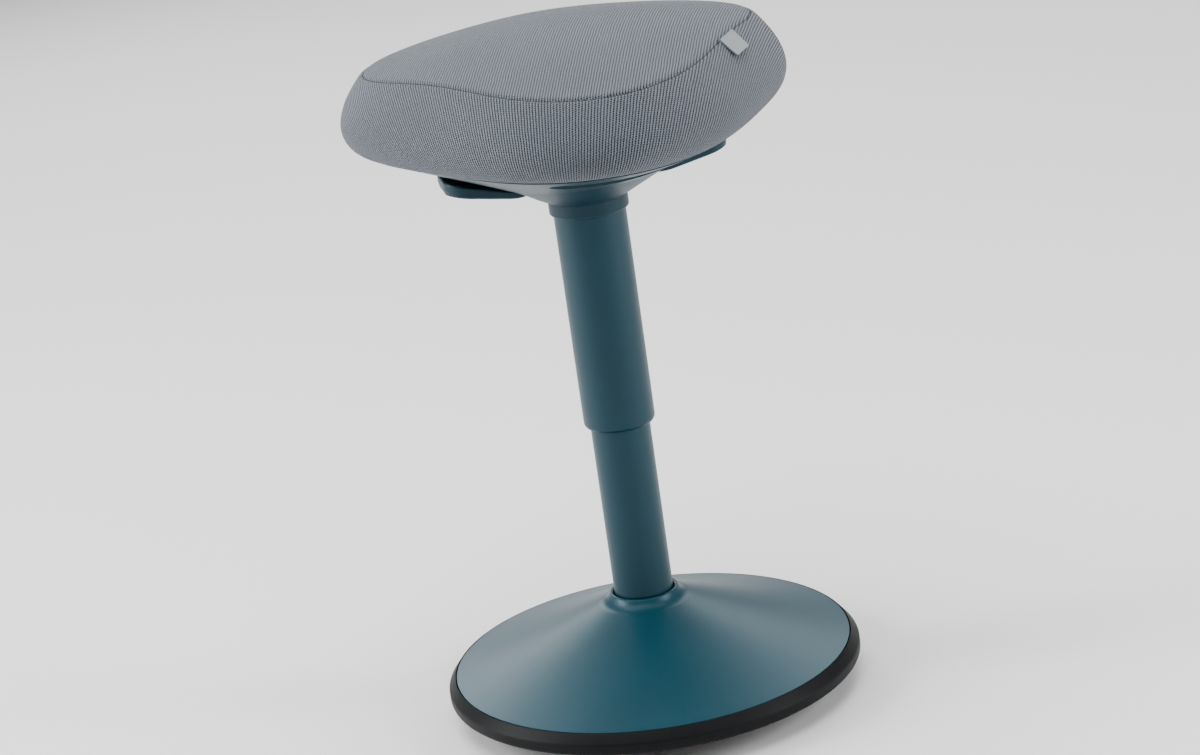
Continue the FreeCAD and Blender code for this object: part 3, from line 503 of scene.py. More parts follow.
@dataclass(frozen=True)
class RibbedKnit(Finish):
    """Ribbed mesh knit: rows of loops with pinholes between the ribs, on the weave map; painted
    shade darkens the rib valleys and pinholes.
    """

    # Near-black painted shade for the rib valleys and pinholes.
    painted_gap_shade: Colour
    pitch: float = 0.0022
    row: float = 0.0017
    bias_degrees: float = 18.0
    wander: Grain = Grain(70.0)
    wander_width: float = 0.0009
    rib_fullness: float = 0.8
    loop_dip: float = 0.14
    hole_width: float = 0.35
    hole_length: float = 0.42
    hole_edge: Range = (0.35, 1.1)
    hole_depth: float = 0.55
    relief: float = 0.0008
    lit_share: float = 0.95
    least_lit: float = 0.03
    fibre: Grain = Grain(900.0, 2.0, 0.7)
    fibre_marks: Marks = ((0.32, 0.6), (0.5, 1.0), (0.68, 1.5))
    cloud: Grain = Grain(9.0)
    cloud_stops: tuple[Stop, ...] = ((0.3, (0.94, 0.94, 0.95)), (0.7, (1.05, 1.05, 1.04)))
    crease: Grain = Grain(26.0)
    crease_turn: Place = (0.0, 0.0, 0.6)
    crease_stretch: Place = (1.0, 0.3, 1.0)
    crease_depth: float = 0.0012
    roughness: Range = (0.78, 0.95)
    shine: float = 0.25
    fuzz: float = 0.18
    fuzz_roughness: float = 0.45

    def turned(self, board: NodeBoard, weave: Socket) -> tuple[Socket, Socket]:
        """Turn the weave map by the ribs' bias.

        Args:
            board: The material's nodes.
            weave: The weave map.

        Returns:
            Sockets with the distances across and along the ribs.
        """
        bias = math.radians(self.bias_degrees)
        split = board.add("SeparateXYZ", {"Vector": weave})
        cosines, sines = (
            [board.calc("MULTIPLY", split.outputs[axis], share) for axis in (0, 1)]
            for share in (math.cos(bias), math.sin(bias))
        )
        noise = board.noise(weave, self.wander)
        wander = board.calc("MULTIPLY_ADD", noise, self.wander_width, -self.wander_width / 2.0)
        across = board.calc("ADD", board.calc("SUBTRACT", cosines[0], sines[1]), wander)
        return across, board.calc("ADD", sines[0], cosines[1])

    def loops(self, board: NodeBoard, weave: Socket) -> Socket:
        """Heights of the loops, with a pinhole beside each.

        Args:
            board: The material's nodes.
            weave: The weave map.

        Returns:
            The socket with the height, about 1 on a loop and below 0 in a hole.
        """
        across, along = self.turned(board, weave)
        column = board.calc("ADD", board.calc("DIVIDE", across, self.pitch), 0.5)
        number = board.calc("FLOOR", column)
        off_gap = board.calc("SUBTRACT", board.calc("SUBTRACT", column, number), 0.5)
        stagger = board.calc("MULTIPLY", board.calc("FLOORED_MODULO", number, 2.0), 0.5)
        step = board.calc("ADD", board.calc("DIVIDE", along, self.row), stagger)
        off_hole = board.calc("SUBTRACT", board.calc("FRACT", step), 0.5)
        wave = board.calc("SINE", board.calc("MULTIPLY", off_gap, math.pi))
        rib = board.calc("POWER", board.calc("ABSOLUTE", wave), self.rib_fullness)
        sides = ((off_gap, self.hole_width), (off_hole, self.hole_length))
        shares = [board.calc("DIVIDE", off, size) for off, size in sides]
        away = board.calc("ADD", *(board.calc("MULTIPLY", share, share) for share in shares))
        edge = {"Value": board.calc("SQRT", away), "To Min": 1.0, "To Max": 0.0}
        edge.update(zip(("From Min", "From Max"), self.hole_edge))
        hole = board.add("MapRange", edge, interpolation_type="SMOOTHSTEP").outputs[0]
        arch = board.calc("COSINE", board.calc("MULTIPLY", off_hole, math.tau))
        loop = board.calc("MULTIPLY_ADD", arch, -self.loop_dip, 1.0 - self.loop_dip)
        sunk = board.calc("MULTIPLY", hole, self.hole_depth)
        return board.calc("SUBTRACT", board.calc("MULTIPLY", rib, loop), sunk)

    def build(self) -> bpy.types.Material:
        """Build the material.

        Returns:
            The material.
        """
        board = NodeBoard(self.name)
        weave = board.weave()
        height = self.loops(board, weave)
        lit = board.calc("MULTIPLY_ADD", height, self.lit_share, self.least_lit)
        fibre = board.noise(weave, self.fibre)
        yarn = board.tones(fibre, self.tone, self.fibre_marks)
        # Painted shade: the colour sinks to the near-black tone where the loops sink, in the rib
        # valleys and pinholes.
        colour = board.blend(board.calc("MINIMUM", lit, 1.0), self.painted_gap_shade, yarn)
        cloud = board.ramp(board.noise(weave, self.cloud), self.cloud_stops)
        colour = board.blend(1.0, colour, cloud, "MULTIPLY")
        drawn = board.mapped(weave, Rotation=self.crease_turn, Scale=self.crease_stretch)
        board.bump(board.noise(drawn, self.crease), self.crease_depth)
        board.bump(height, self.relief)
        constants = {"Specular_IOR_Level": self.shine, "Sheen_Weight": self.fuzz}
        constants["Sheen_Roughness"] = self.fuzz_roughness
        return board.finish(colour, board.spread(fibre, self.roughness), **constants)


@dataclass
class Finishes:
    """All finishes of the stool."""

    paint: Finish = PaintedMetal("petrol_powder_coat", (0.0012, 0.026, 0.041))
    cover_paint: Finish = PaintedMetal("petrol_cover_coat", (0.0018, 0.038, 0.058), 0.4)
    plastic: Finish = MouldedPlastic("petrol_moulding", (0.001, 0.02, 0.032))
    rubber: Finish = SatinRubber("charcoal_rubber", (0.0026, 0.003, 0.0037))
    steel: Finish = TurnedSteel("turned_steel", (0.45, 0.46, 0.48))
    drawn: Finish = DrawnSteel("drawn_steel", (0.42, 0.43, 0.45))
    iron: Finish = CastMetal("cast_iron_weight", (0.05, 0.05, 0.055), 0.6)
    alloy: Finish = CastMetal("cast_alloy_socket", (0.42, 0.43, 0.45), 0.5)
    bright: Finish = BareMetal("bright_steel_rod", (0.6, 0.61, 0.63), 0.14)
    bush: Finish = MouldedPlastic("white_bearing_plastic", (0.68, 0.68, 0.65), 0.38)
    wood: Finish = Plywood("birch_plywood", (0.5, 0.34, 0.19), (0.33, 0.2, 0.1))
    foam: Finish = OpenFoam("moulded_foam", (0.6, 0.56, 0.46))
    # The knit's second tone is painted shade for its rib valleys and pinholes.
    knit: Finish = RibbedKnit("grey_ribbed_knit", (0.165, 0.194, 0.235), (0.002, 0.003, 0.006))
    tape: Finish = WovenTape("bare_woven_tape", (0.2, 0.225, 0.25))
    # The thread's near-black tone is partly real stitching and partly painted shade: it darkens the
    # seam's groove into a shadow line.
    thread: Finish = SewingThread("seam_thread_and_groove_shade", (0.008, 0.01, 0.014))

    def dress(self) -> None:
        """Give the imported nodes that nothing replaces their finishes."""
        worn: dict[Finish, tuple[str, ...]] = {
            self.cover_paint: ("base_cover",),
            self.paint: ("column_tube", "cover_tube"),
            self.plastic: ("collar_ring", "seat_shell", "grip_liner", "press_spool"),
            self.rubber: ("rubber_sole", "travel_buffer", "piston_seal"),
            self.bush: ("guide_bush", "glide_ring", "bearing_cage"),
            self.bright: ("bearing_balls", "piston_rod", "valve_pin"),
            self.alloy: ("column_socket", "seat_hub"),
            self.iron: ("ballast_disc",),
            self.drawn: ("gas_cylinder",),
            self.wood: ("seat_board",),
            self.steel: (
                "rocker_pan", "socket_bolts", "bearing_lower_race", "bearing_upper_race",
                "rod_clip", "piston_head", "cylinder_gland",
                "hub_screws", "shell_screws", "lever_pins",
            ),
        }
        for finish, names in worn.items():
            for name in names:
                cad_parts[name].active_material = finish.material
                log.info("dressed %s in %s", name, finish.name)


def make_mesh(
    name: str,
    points: np.ndarray,
    faces: Sequence[Sequence[int]],
    weave: np.ndarray | None = None,
) -> bpy.types.Object:
    """Make a mesh object in the scene.

    Args:
        name: Name of the piece.
        points: Corner points in metres.
        faces: Corner numbers of each face.
        weave: Cloth coordinates of each point, for its weave map.

    Returns:
        The new object.
    """
    mesh = bpy.data.meshes.new(name)
    mesh.from_pydata([tuple(point) for point in points], [], [tuple(face) for face in faces])
    mesh.update()
    if weave is not None:
        corners = np.zeros(len(mesh.loops), dtype=np.int32)
        mesh.loops.foreach_get("vertex_index", corners)
        layer = mesh.uv_layers.new(name=WEAVE)
        layer.data.foreach_set("uv", weave[corners].astype(np.float32).ravel())
    mesh.polygons.foreach_set("use_smooth", [True] * len(mesh.polygons))
    piece = bpy.data.objects.new(name, mesh)
    bpy.context.scene.collection.objects.link(piece)
    return piece


def ring_faces(first: int, second: int, count: int) -> list[tuple[int, ...]]:
    """Quads between two closed rings of points, from the number of each ring's first point."""
    steps = [(i, (i + 1) % count) for i in range(count)]
    return [(first + i, first + j, second + j, second + i) for i, j in steps]


def fan_faces(first: int, pole: int, count: int) -> list[tuple[int, ...]]:
    """Triangles between a closed ring of points, from the number of its first, and a pole."""
    return [(first + i, first + (i + 1) % count, pole) for i in range(count)]


def even_turns(count: int) -> np.ndarray:
    """Angles that share a full turn evenly."""
    return np.arange(count) * math.tau / count


def unit(vectors: np.ndarray) -> np.ndarray:
    """Vectors made one metre long."""
    return vectors / np.linalg.norm(vectors, axis=-1, keepdims=True)


def crisp(piece: bpy.types.Object, degrees: float) -> None:
    """Keep the edges that turn by more than an angle sharp."""
    crease = piece.modifiers.new("crisp_edges", "EDGE_SPLIT")
    crease.split_angle = math.radians(degrees)


def install(
    piece: bpy.types.Object, body: Body, slot: Slot, material: bpy.types.Material, *nodes: str
) -> None:
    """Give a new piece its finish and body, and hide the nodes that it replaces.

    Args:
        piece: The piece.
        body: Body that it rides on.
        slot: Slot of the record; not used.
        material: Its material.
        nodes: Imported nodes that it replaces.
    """
    piece.data.materials.append(material)
    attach(piece, body.value)
    if nodes:
        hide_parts(*nodes)
    log.info("built %s", piece.name)


@dataclass
class EdgeRing:
    """The rocking base's edge ring, softly rounded."""

    finishes: Finishes
    rocking_radius: float = 0.756
    land_radius: float = 0.032
    skin: float = 0.003
    outer: float = 0.1764
    wall_top: float = 0.029
    crest: float = 0.1696
    crest_top: float = 0.0375
    ledge_top: float = 0.031
    throat: float = 0.160
    pan_edge: float = 0.1682
    foot_round: float = 0.0028
    wall_round: float = 0.0015
    crest_round: float = 0.001
    corner_steps: int = 6
    crease_degrees: float = 50.0
    segments: int = 256

    def dome(self, radius: float, lift: float) -> float:
        """Height of the tread at a radius, or of a dome lifted square off the tread."""
        centre = math.sqrt(self.rocking_radius**2 - self.land_radius**2)
        return centre - math.sqrt((self.rocking_radius - lift) ** 2 - radius**2)

    def rounded(self, before: Vector, tip: Vector, after: Vector, cut: float) -> list[Vector]:
        """Round a corner off.

        Args:
            before: The corner before it.
            tip: Its own tip.
            after: The corner after it.
            cut: Length that is cut from both its sides.

        Returns:
            Points of the curve.
        """
        start, end = (tip + (side - tip).normalized() * cut for side in (before, after))
        shares = [step / self.corner_steps for step in range(self.corner_steps + 1)]
        return [start.lerp(tip, share).lerp(tip.lerp(end, share), share) for share in shares]

    def ring_profile(self) -> list[Vector]:
        """Draw the closed section of the edge ring, from the outer foot up and round.

        Returns:
            Its points, as radius and height.
        """
        double = 2.0 * self.skin
        sharp = (
            (self.outer, self.dome(self.outer, 0.0), self.foot_round),
            (self.outer, self.wall_top, self.wall_round),
            (self.crest, self.crest_top, self.crest_round),
            (self.crest, self.ledge_top, 0.0),
            (self.throat, self.ledge_top, 0.0),
            (self.throat, self.dome(self.throat, double), 0.0),
            (self.pan_edge, self.dome(self.pan_edge, double), 0.0),
            (self.pan_edge, self.dome(self.pan_edge, self.skin), 0.0),
            (self.throat, self.dome(self.throat, self.skin), 0.0),
            (self.throat, self.dome(self.throat, 0.0), 0.0),
        )
        tips = [Vector(place[:2]) for place in sharp]
        profile: list[Vector] = []
        for index, (*_, radius) in enumerate(sharp):
            if radius:
                after = tips[(index + 1) % len(tips)]
                profile += self.rounded(tips[index - 1], tips[index], after, radius)
            else:
                profile.append(tips[index])
        return profile

    def build(self) -> None:
        """Turn the ring's section about the axis."""
        profile = self.ring_profile()
        turns = even_turns(self.segments)
        circle = np.stack([np.cos(turns), np.sin(turns), 0.0 * turns], -1)
        rings = [circle * radius + [0.0, 0.0, height] for radius, height in profile]
        starts = [index * self.segments for index in range(len(rings))]
        faces: list[tuple[int, ...]] = []
        for start, following in zip(starts, starts[1:] + starts[:1]):
            faces += ring_faces(start, following, self.segments)
        ring = make_mesh("edge_ring_rounded", np.concatenate(rings), faces)
        crisp(ring, self.crease_degrees)
        install(ring, Body.BASE, Slot.RUBBER, self.finishes.rubber.material, "edge_ring")


@dataclass
class Levers:
    """The two levers, with paddles that hang clear of the shell."""

    finishes: Finishes
    arm_end: float = 0.043
    root: float = 0.050
    tip: float = 0.118
    root_drop: float = 0.004
    tip_drop: float = 0.0085
    tip_thickening: float = 0.0012
    paddle_middle: float = 0.009
    crease_degrees: float = 32.0

    def hanging(self, node: str) -> bpy.types.Object:
        """Build a lever whose paddle hangs lower and thicker than the plain solid.

        Args:
            node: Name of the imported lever.

        Returns:
            The new lever.
        """
        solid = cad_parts[node].data
        points = np.array([tuple(vertex.co) for vertex in solid.vertices])
        reach = np.abs(points[:, 0])
        along = np.clip((reach - self.root) / (self.tip - self.root), 0.0, 1.0)
        joined = np.clip((reach - self.arm_end) / (self.root - self.arm_end), 0.0, 1.0)
        low = points[reach > self.root, 2].min()
        middle = low + self.paddle_middle * (1.0 + along)
        thicker = np.where(points[:, 2] < middle, -1.0, 1.0) * self.tip_thickening * along
        drop = self.root_drop + (self.tip_drop - self.root_drop) * along
        points[:, 2] += thicker - joined * drop
        lever = make_mesh(node + "_hanging", points, [face.vertices for face in solid.polygons])
        crisp(lever, self.crease_degrees)
        return lever

    def build(self) -> None:
        """Build both levers."""
        plastic = self.finishes.plastic.material
        for body in (Body.LEFT_LEVER, Body.RIGHT_LEVER):
            install(self.hanging(body.value), body, Slot.PLASTIC, plastic, body.value)


@dataclass(frozen=True)
class SeatForm:
    """Cushion's outer form: three soft corners, sides that lean in to a seam, a shallow crown."""

    radius: float = 0.1796
    corner_swell: float = 0.099
    corner_tightness: float = 0.004
    foot: float = 0.5016
    foot_inset: float = 0.0162
    waist: float = 0.5193
    seam: float = 0.5651
    seam_ripple: float = 0.00456
    seam_inset: float = 0.0246
    lean_power: float = 1.76
    crown: float = 0.0199
    crown_power: float = 1.81

    def reach(self, turns: np.ndarray) -> np.ndarray:
        """Outline radius at angles from the near corner."""
        swell = self.corner_swell * np.cos(3 * turns) + self.corner_tightness * np.cos(6 * turns)
        return self.radius * (1.0 + swell)

    def spot(self, turns: np.ndarray, reach: np.ndarray, height: Any) -> np.ndarray:
        """Points at angles from the near corner, at a reach and height."""
        return np.stack([reach * np.sin(turns), -reach * np.cos(turns), height + 0.0 * turns], -1)

    def roll(self, turns: np.ndarray, share: float) -> np.ndarray:
        """The rounded foot, from its underside at 0 to the waist at 1."""
        reach = self.reach(turns) - self.foot_inset * (1.0 - math.sqrt(1.0 - (1.0 - share) ** 2))
        return self.spot(turns, reach, self.foot + (self.waist - self.foot) * share)

    def seam_height(self, turns: np.ndarray) -> np.ndarray:
        """Height of the seam, lower at the corners."""
        return self.seam - self.seam_ripple * np.cos(3 * turns)

    def band(self, turns: np.ndarray, share: float) -> np.ndarray:
        """The side band, from the waist at 0 to the seam at 1."""
        reach = self.reach(turns) - self.seam_inset * share**self.lean_power
        return self.spot(turns, reach, self.waist + (self.seam_height(turns) - self.waist) * share)

    def top(self, turns: np.ndarray, share: float) -> np.ndarray:
        """The top.

        Args:
            turns: Angles from the near corner.
            share: Place on it, from the middle at 0 to the seam at 1.

        Returns:
            Its points.
        """
        ripple = self.seam_ripple * np.cos(3 * turns) * share**2
        height = self.seam - ripple + self.crown * (1.0 - share**self.crown_power)
        return self.spot(turns, (self.reach(turns) - self.seam_inset) * share, height)


@dataclass
class Cushion:
    """Foam cushion with a knitted side band and top panel, joined in one sewn seam."""

    finishes: Finishes
    form: SeatForm = SeatForm()
    columns: int = 432
    roll_rings: int = 9
    band_shares: Shares = (*np.linspace(0.0, 0.9, 14), 0.93, 0.955, 0.972, 0.984, 0.993, 1.0)
    top_shares: Shares = (1.0, 0.996, 0.99, 0.982, 0.97, 0.95, *np.linspace(0.92, 0.04, 20))
    cloth: float = 0.0015
    groove_depth: float = 0.0021
    groove_width: float = 0.0013
    puff: float = 0.0005
    puff_width: float = 0.005
    band_stretch: float = 0.9
    tuck: float = 0.0018
    fill: float = 0.9
    foam_columns: int = 144
    foam_play: float = 0.0003
    board_swell: float = 0.1
    board_inset: float = 0.024
    board_top: float = 0.5135
    stitch_pitch: float = 0.003
    stitch_length: float = 0.0027
    stitch_rings: int = 5
    stitch_arch: float = 0.0012
    beside_seam: float = 0.985
    thread_radius: float = 0.0005
    thread_tip: float = 0.45
    thread_swell: float = 0.55
    thread_depth: float = 0.0016
    thread_sides: int = 6

    def band_rings(self, count: int, tuck: float = 0.0) -> np.ndarray:
        """Rings of the band, from its foot up to the seam.

        Args:
            count: Points in each ring.
            tuck: How far the cloth reaches down over the shell's rim.

        Returns:
            The rings.
        """
        turns = even_turns(count)
        rolls = []
        for step in range(self.roll_rings):
            share = 1.0 - math.cos(step * math.pi / (2 * self.roll_rings))
            rolls.append(self.form.roll(turns, share) - [0.0, 0.0, tuck * (1.0 - share)])
        return np.stack(rolls + [self.form.band(turns, share) for share in self.band_shares])

    def top_rings(self, count: int) -> np.ndarray:
        """Rings of the top panel, from the seam in to the middle."""
        turns = even_turns(count)
        return np.stack([self.form.top(turns, share) for share in self.top_shares])

    @staticmethod
    def normals(rings: np.ndarray) -> np.ndarray:
        """Unit normals of a grid of rings."""
        round_ring = np.roll(rings, -1, axis=1) - np.roll(rings, 1, axis=1)
        return unit(np.cross(round_ring, np.gradient(rings, axis=0)))

    @staticmethod
    def lengths(rings: np.ndarray) -> np.ndarray:
        """Length of cloth between the first ring and each point."""
        steps = np.linalg.norm(np.diff(rings, axis=0), axis=2)
        return np.concatenate([np.zeros((1, rings.shape[1])), np.cumsum(steps, axis=0)])

    def sink(self, run: np.ndarray) -> np.ndarray:
        """Depth under the plain form at some lengths from the seam."""
        puff = self.puff * (run / self.puff_width) * np.exp(1.0 - run / self.puff_width)
        return self.groove_depth * np.exp(-((run / self.groove_width) ** 2)) - puff

    def flat_band(self, rings: np.ndarray, run: np.ndarray) -> np.ndarray:
        """Cloth coordinates of the band, laid out flat round its seam."""
        seam = rings[-1, :, :2]
        return (seam + unit(seam) * run[..., None]) * self.band_stretch

    def panel(self, name: str, rings: np.ndarray, seam_first: bool) -> bpy.types.Object:
        """Make a closed cloth panel from a grid of rings.

        Args:
            name: Name of the panel.
            rings: Grid of rings on the plain form.
            seam_first: Whether the first ring is the seam. That panel also closes over the middle.

        Returns:
            The panel.
        """
        count = rings.shape[1]
        normal = self.normals(rings)
        if seam_first:
            normal = np.where(normal[..., 2:] < 0, -normal, normal)
        run = self.lengths(rings) if seam_first else self.lengths(rings[::-1])[::-1]
        sink = self.sink(run)[..., None]
        outer = rings - normal * sink
        inner = rings - normal * (sink + self.cloth)
        points = np.concatenate([outer.reshape(-1, 3), inner.reshape(-1, 3)])
        weave = rings[..., :2] if seam_first else self.flat_band(rings, run)
        maps = np.tile(weave.reshape(-1, 2), (2, 1))
        under = len(rings) * count
        last = under - count
        faces: list[Sequence[int]] = []
        for near in range(0, last, count):
            faces += ring_faces(near, near + count, count)
            inside = ring_faces(under + near, under + near + count, count)
            faces += [face[::-1] for face in inside]
        faces += ring_faces(under, 0, count)
        if seam_first:
            middle = np.array([[0.0, 0.0, self.form.seam + self.form.crown]])
            points = np.concatenate([points, middle, middle - [[0.0, 0.0, self.cloth]]])
            maps = np.concatenate([maps, np.zeros((2, 2))])
            faces += fan_faces(last, 2 * under, count)
            faces += [face[::-1] for face in fan_faces(under + last, 2 * under + 1, count)]
        else:
            faces += ring_faces(last, under + last, count)
        return make_mesh(name, points, faces, maps)

    def foam_block(self) -> bpy.types.Object:
        """Build the foam inside the cover, with its recess for the board.

        Returns:
            The foam.
        """
        count = self.foam_columns
        turns = even_turns(count)
        skin = self.cloth + self.foam_play
        band, top = self.band_rings(count), self.top_rings(count)
        rings = np.concatenate([band[:-1], top])
        normal = self.normals(rings)
        normal[0, :, 2] = 0.0
        run = np.concatenate([self.lengths(band[::-1])[:0:-1], self.lengths(top)])
        block = rings - normal * (skin + np.maximum(self.sink(run), 0.0)[..., None])
        block[0, :, 2] = self.form.foot
        board = self.form.radius * (1.0 + self.board_swell * np.cos(3 * turns)) - self.board_inset
        ceiling = self.board_top + self.foam_play
        high = self.form.spot(turns, board + self.foam_play, ceiling)
        low = self.form.spot(turns, board + self.foam_play, self.form.foot)
        poles = np.array([[0.0, 0.0, ceiling], [0.0, 0.0, self.form.seam + self.form.crown - skin]])
        points = np.concatenate([high, low, block.reshape(-1, 3), poles])
        end = len(points) - len(poles)
        faces: list[Sequence[int]] = []
        for first in range(0, end - count, count):
            faces += ring_faces(first, first + count, count)
        faces += [face[::-1] for face in fan_faces(0, end, count)]
        faces += fan_faces(end - count, end + 1, count)
        return make_mesh("seat_foam_block", points, faces)

    def stitches(self) -> bpy.types.Object:
        """Build the row of lock stitches in the seam.

        Returns:
            The stitches, as one piece.
        """
        fine = even_turns(self.columns)
        seam = self.form.band(fine, 1.0)
        steps = np.linalg.norm(np.roll(seam, -1, axis=0) - seam, axis=1)
        run = np.concatenate([[0.0], np.cumsum(steps)])
        number = round(run[-1] / self.stitch_pitch)
        shares = np.linspace(-0.5, 0.5, self.stitch_rings)
        middles = (np.arange(number) + 0.5) * run[-1] / number
        marks = middles[:, None] + shares * self.stitch_length
        turns = np.interp(marks.ravel(), run, np.append(fine, math.tau))
        nudge = math.tau / self.columns
        ahead = unit(self.form.band(turns + nudge, 1.0) - self.form.band(turns - nudge, 1.0))
        across = self.form.top(turns, self.beside_seam) - self.form.band(turns, self.beside_seam)
        outward = unit(np.cross(ahead, across))
        beside = np.cross(ahead, outward)
        rise = np.tile((0.25 - shares**2) * self.stitch_arch - self.thread_depth, number)
        swell = self.thread_tip + self.thread_swell * np.cos(shares * math.pi)
        radius = np.tile(self.thread_radius * swell, number)
        heart = self.form.band(turns, 1.0) + outward * rise[:, None]
        sides = even_turns(self.thread_sides)[:, None]
        spokes = np.cos(sides) * outward[:, None] + np.sin(sides) * beside[:, None]
        points = (heart[:, None] + radius[:, None, None] * spokes).reshape(-1, 3)
        faces: list[Sequence[int]] = []
        for stitch in range(number):
            first = stitch * self.stitch_rings * self.thread_sides
            last = first + (self.stitch_rings - 1) * self.thread_sides
            for ring in range(first, last, self.thread_sides):
                faces += ring_faces(ring, ring + self.thread_sides, self.thread_sides)
            faces.append(tuple(range(first, first + self.thread_sides))[::-1])
            faces.append(tuple(range(last, last + self.thread_sides)))
        return make_mesh("seam_stitches", points, faces)

    def build(self) -> bpy.types.Object:
        """Build the cushion.

        Returns:
            The side band, which the label hangs over.
        """
        knit = self.finishes.knit.material
        band = self.panel("cushion_side_band", self.band_rings(self.columns, self.tuck), False)
        install(band, Body.SEAT, Slot.KNIT, knit, "cover_band")
        top = self.panel("cushion_top_panel", self.top_rings(self.columns), True)
        install(top, Body.SEAT, Slot.KNIT, knit, "cover_top")
        foam = self.foam_block()
        install(foam, Body.SEAT, Slot.FOAM, self.finishes.foam.material, "seat_foam")
        install(self.stitches(), Body.SEAT, Slot.KNIT, self.finishes.thread.material)
        return band


@dataclass
class SeamTab:
    """Folded woven tab sewn into the seam, left bare."""

    finishes: Finishes
    form: SeatForm = SeatForm()
    angle_degrees: float = 55.0
    nudge: float = 0.001
    width: float = 0.034
    drop: float = 0.019
    layer: float = 0.00045
    slack: float = 0.0004
    lean_degrees: float = 41.0
    clearance: float = 0.0004
    lift: float = 0.0011
    lift_bias: float = 0.6
    rows: int = 16
    bend_steps: int = 8
    files: int = 20
    crease_degrees: float = 60.0

    def axes(self) -> tuple[np.ndarray, np.ndarray, np.ndarray, np.ndarray]:
        """Find where the tab leaves the seam.

        Returns:
            That place, then the directions along the seam, down the tab and out of its face.
        """
        turn = np.array([math.radians(self.angle_degrees)])
        before, here, after = (
            self.form.band(turn + shift, 1.0)[0] for shift in (-self.nudge, 0.0, self.nudge)
        )
        along = unit((after - before) * [1.0, 1.0, 0.0])
        outward = np.array([along[1], -along[0], 0.0])
        upward = np.array([0.0, 0.0, 1.0])
        lean = math.radians(self.lean_degrees)
        down = outward * math.sin(lean) - upward * math.cos(lean)
        return here, along, down, outward * math.cos(lean) + upward * math.sin(lean)

    def section(self) -> tuple[np.ndarray, np.ndarray]:
        """Draw the folded strip from the side.

        Returns:
            Its closed outline, as falls and heights over the band, and the cloth's length there.
        """
        bend = (self.layer + self.slack) / 2.0
        straight = self.drop - bend - self.layer / 2.0
        middle = [(straight * row / self.rows, 2.0 * bend) for row in range(self.rows + 1)]
        for step in range(1, self.bend_steps):
            turned = math.pi * step / self.bend_steps
            middle.append((straight + bend * math.sin(turned), bend + bend * math.cos(turned)))
        middle += [(straight * (1.0 - row / self.rows), 0.0) for row in range(self.rows + 1)]
        path = np.array(middle)
        heading = unit(np.gradient(path, axis=0))
        aside = np.stack([-heading[:, 1], heading[:, 0]], -1) * self.layer / 2.0
        outline = np.concatenate([path + aside, (path - aside)[::-1]]) + [0.0, self.layer / 2.0]
        run = np.concatenate([[0.0], np.cumsum(np.linalg.norm(np.diff(path, axis=0), axis=1))])
        return outline, np.concatenate([run, run[::-1]])

    def build(self, band: bpy.types.Object) -> None:
        """Build the tab.

        Args:
            band: The side band, which it rests on.
        """
        here, along, down, face = self.axes()
        outline, reading = self.section()
        points, maps = [], []
        for file in range(self.files + 1):
            side = file / self.files - 0.5
            for (fall, proud), read in zip(outline, reading):
                curl = self.lift * (fall / self.drop) ** 2 * (self.lift_bias - side)
                place = here + along * side * self.width + down * fall
                points.append(place + face * (self.clearance + proud + curl))
                maps.append((side * self.width, read))
        size = len(outline)
        faces: list[Sequence[int]] = []
        for file in range(self.files):
            faces += ring_faces(file * size, (file + 1) * size, size)
        for index in range(size // 2 - 1):
            rung = (index, index + 1, size - 2 - index, size - 1 - index)
            faces.append(rung[::-1])
            faces.append(tuple(self.files * size + corner for corner in rung))
        tab = make_mesh("seam_tab_bare", np.array(points), faces, np.array(maps))
        crisp(tab, self.crease_degrees)
        install(tab, Body.SEAT, Slot.TAPE, self.finishes.tape.material, "label_tab")


@dataclass(frozen=True)
class SoftPanel:
    """A soft light panel that faces the stool."""

    name: str
    place: Place
    width: float
    height: float
    watts: float
    aim: Place = (0.0, 0.0, 0.35)

    def hang(self) -> None:
        """Add the panel to the scene."""
        light = bpy.data.lights.new(self.name, "AREA")
        light.shape = "RECTANGLE"
        light.size = self.width
        light.size_y = self.height
        light.energy = self.watts
        lamp = bpy.data.objects.new(self.name, light)
        lamp.location = self.place
        ahead = Vector(self.aim) - Vector(self.place)
        lamp.rotation_euler = ahead.to_track_quat("-Z", "Y").to_euler()
        bpy.context.scene.collection.objects.link(lamp)


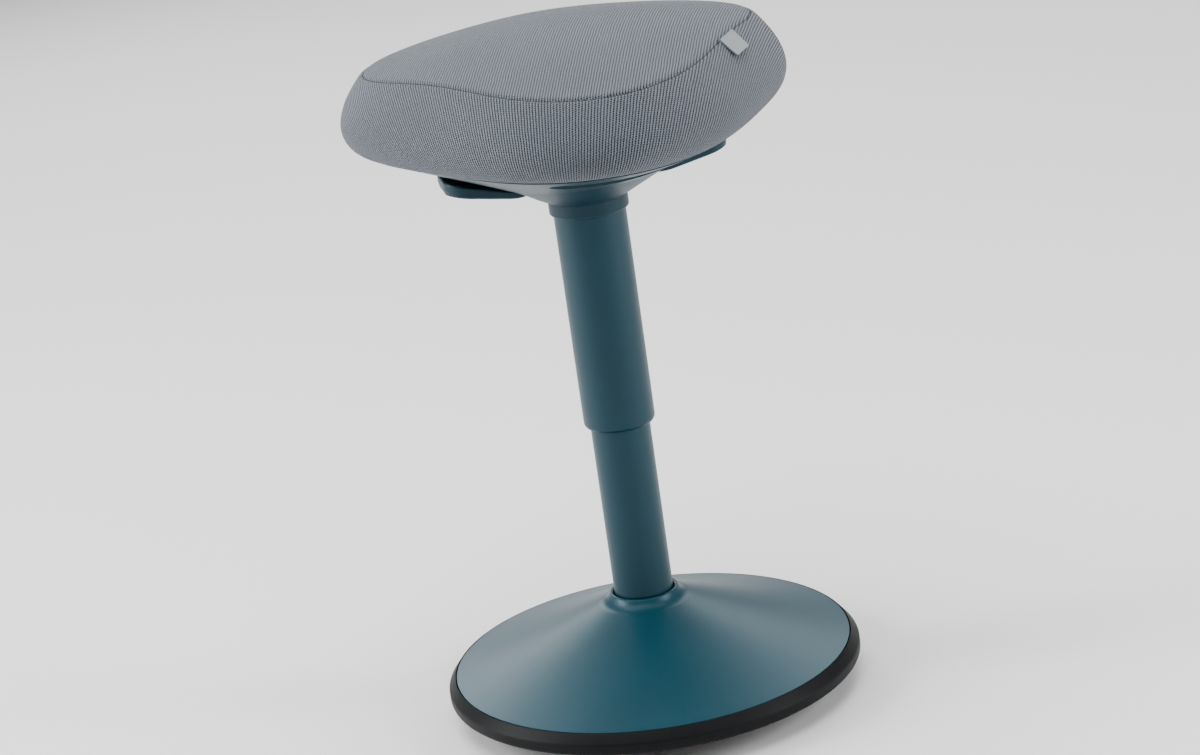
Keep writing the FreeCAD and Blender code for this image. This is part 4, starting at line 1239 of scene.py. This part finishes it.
@dataclass
class Studio:
    """Pale floor, soft light panels and an even pale surround."""

    floor_size: float = 24.0
    floor_drop: float = 0.0002
    floor_tone: Colour = (0.86, 0.86, 0.86)
    floor_roughness: float = 0.9
    floor_shine: float = 0.1
    surround: float = 0.16
    horizon: float = 0.85
    haze_height: float = 0.3
    panels: tuple[SoftPanel, ...] = (
        SoftPanel("left_softbox", (-2.8, 0.4, 1.5), 0.9, 2.0, 115.0),
        SoftPanel("right_softbox", (2.5, -1.3, 1.4), 0.7, 1.8, 75.0),
        SoftPanel("back_left_softbox", (-0.5, 3.4, 1.9), 1.0, 1.5, 42.0),
        SoftPanel("back_right_softbox", (1.8, 2.8, 2.3), 1.2, 1.5, 34.0),
        SoftPanel("overhead_softbox", (-0.3, -0.2, 3.2), 3.2, 3.2, 150.0),
    )

    def floor(self) -> None:
        """Lay the floor just under the stool."""
        half = self.floor_size / 2.0
        plan = ((-half, -half), (half, -half), (half, half), (-half, half))
        corners = np.array([(*spot, -self.floor_drop) for spot in plan])
        floor = make_mesh("studio_floor", corners, [(0, 1, 2, 3)])
        finished = NodeBoard("pale_floor").finish(
            self.floor_tone, self.floor_roughness, Specular_IOR_Level=self.floor_shine
        )
        floor.data.materials.append(finished)

    def world(self) -> None:
        """Surround the scene with a dim white that brightens towards the horizon."""
        world = bpy.data.worlds.new("pale_surround")
        bpy.context.scene.world = world
        world.use_nodes = True
        nodes, links = world.node_tree.nodes, world.node_tree.links
        height = nodes.new("ShaderNodeSeparateXYZ")
        links.new(nodes.new("ShaderNodeTexCoord").outputs["Generated"], height.inputs[0])
        fall = nodes.new("ShaderNodeMapRange")
        fall.interpolation_type = "SMOOTHSTEP"
        fall.inputs["From Max"].default_value = self.haze_height
        fall.inputs["To Min"].default_value = self.horizon
        fall.inputs["To Max"].default_value = self.surround
        links.new(height.outputs[2], fall.inputs["Value"])
        background = nodes["Background"]
        background.inputs["Color"].default_value = opaque(WHITE)
        links.new(fall.outputs[0], background.inputs["Strength"])

    def build(self) -> None:
        """Build the floor, surround and lights."""
        self.floor()
        self.world()
        for panel in self.panels:
            panel.hang()


@dataclass
class PhotoCamera:
    """Camera at the photograph's place, with its lens and lean."""

    place: Place = (-0.4524, -2.6831, 1.1548)
    ahead: Place = (0.1545, 0.9398, -0.3046)
    lean_degrees: float = -8.24
    lens: float = 103.14
    sensor: float = 36.0
    sight: float = 60.0

    def build(self) -> None:
        """Add the camera and make it the scene's own."""
        data = bpy.data.cameras.new("photo_camera")
        data.sensor_fit = "HORIZONTAL"
        data.sensor_width = self.sensor
        data.lens = self.lens
        data.clip_end = self.sight
        camera = bpy.data.objects.new("photo_camera", data)
        ahead = Vector(self.ahead).normalized()
        level_right = ahead.cross(Vector((0.0, 0.0, 1.0))).normalized()
        level_up = level_right.cross(ahead)
        lean = math.radians(self.lean_degrees)
        right = level_right * math.cos(lean) + level_up * math.sin(lean)
        upward = level_up * math.cos(lean) - level_right * math.sin(lean)
        turn = Matrix((right, upward, -ahead)).transposed()
        camera.matrix_world = Matrix.Translation(Vector(self.place)) @ turn.to_4x4()
        bpy.context.scene.collection.objects.link(camera)
        bpy.context.scene.camera = camera


def main() -> None:
    """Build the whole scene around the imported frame."""
    logging.basicConfig(level=logging.INFO, format="%(name)s: %(message)s")
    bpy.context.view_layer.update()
    PhotoCamera().build()
    Studio().build()
    finishes = Finishes()
    finishes.dress()
    EdgeRing(finishes).build()
    Levers(finishes).build()
    SeamTab(finishes).build(Cushion(finishes).build())


if __name__ == "__main__":
    main()
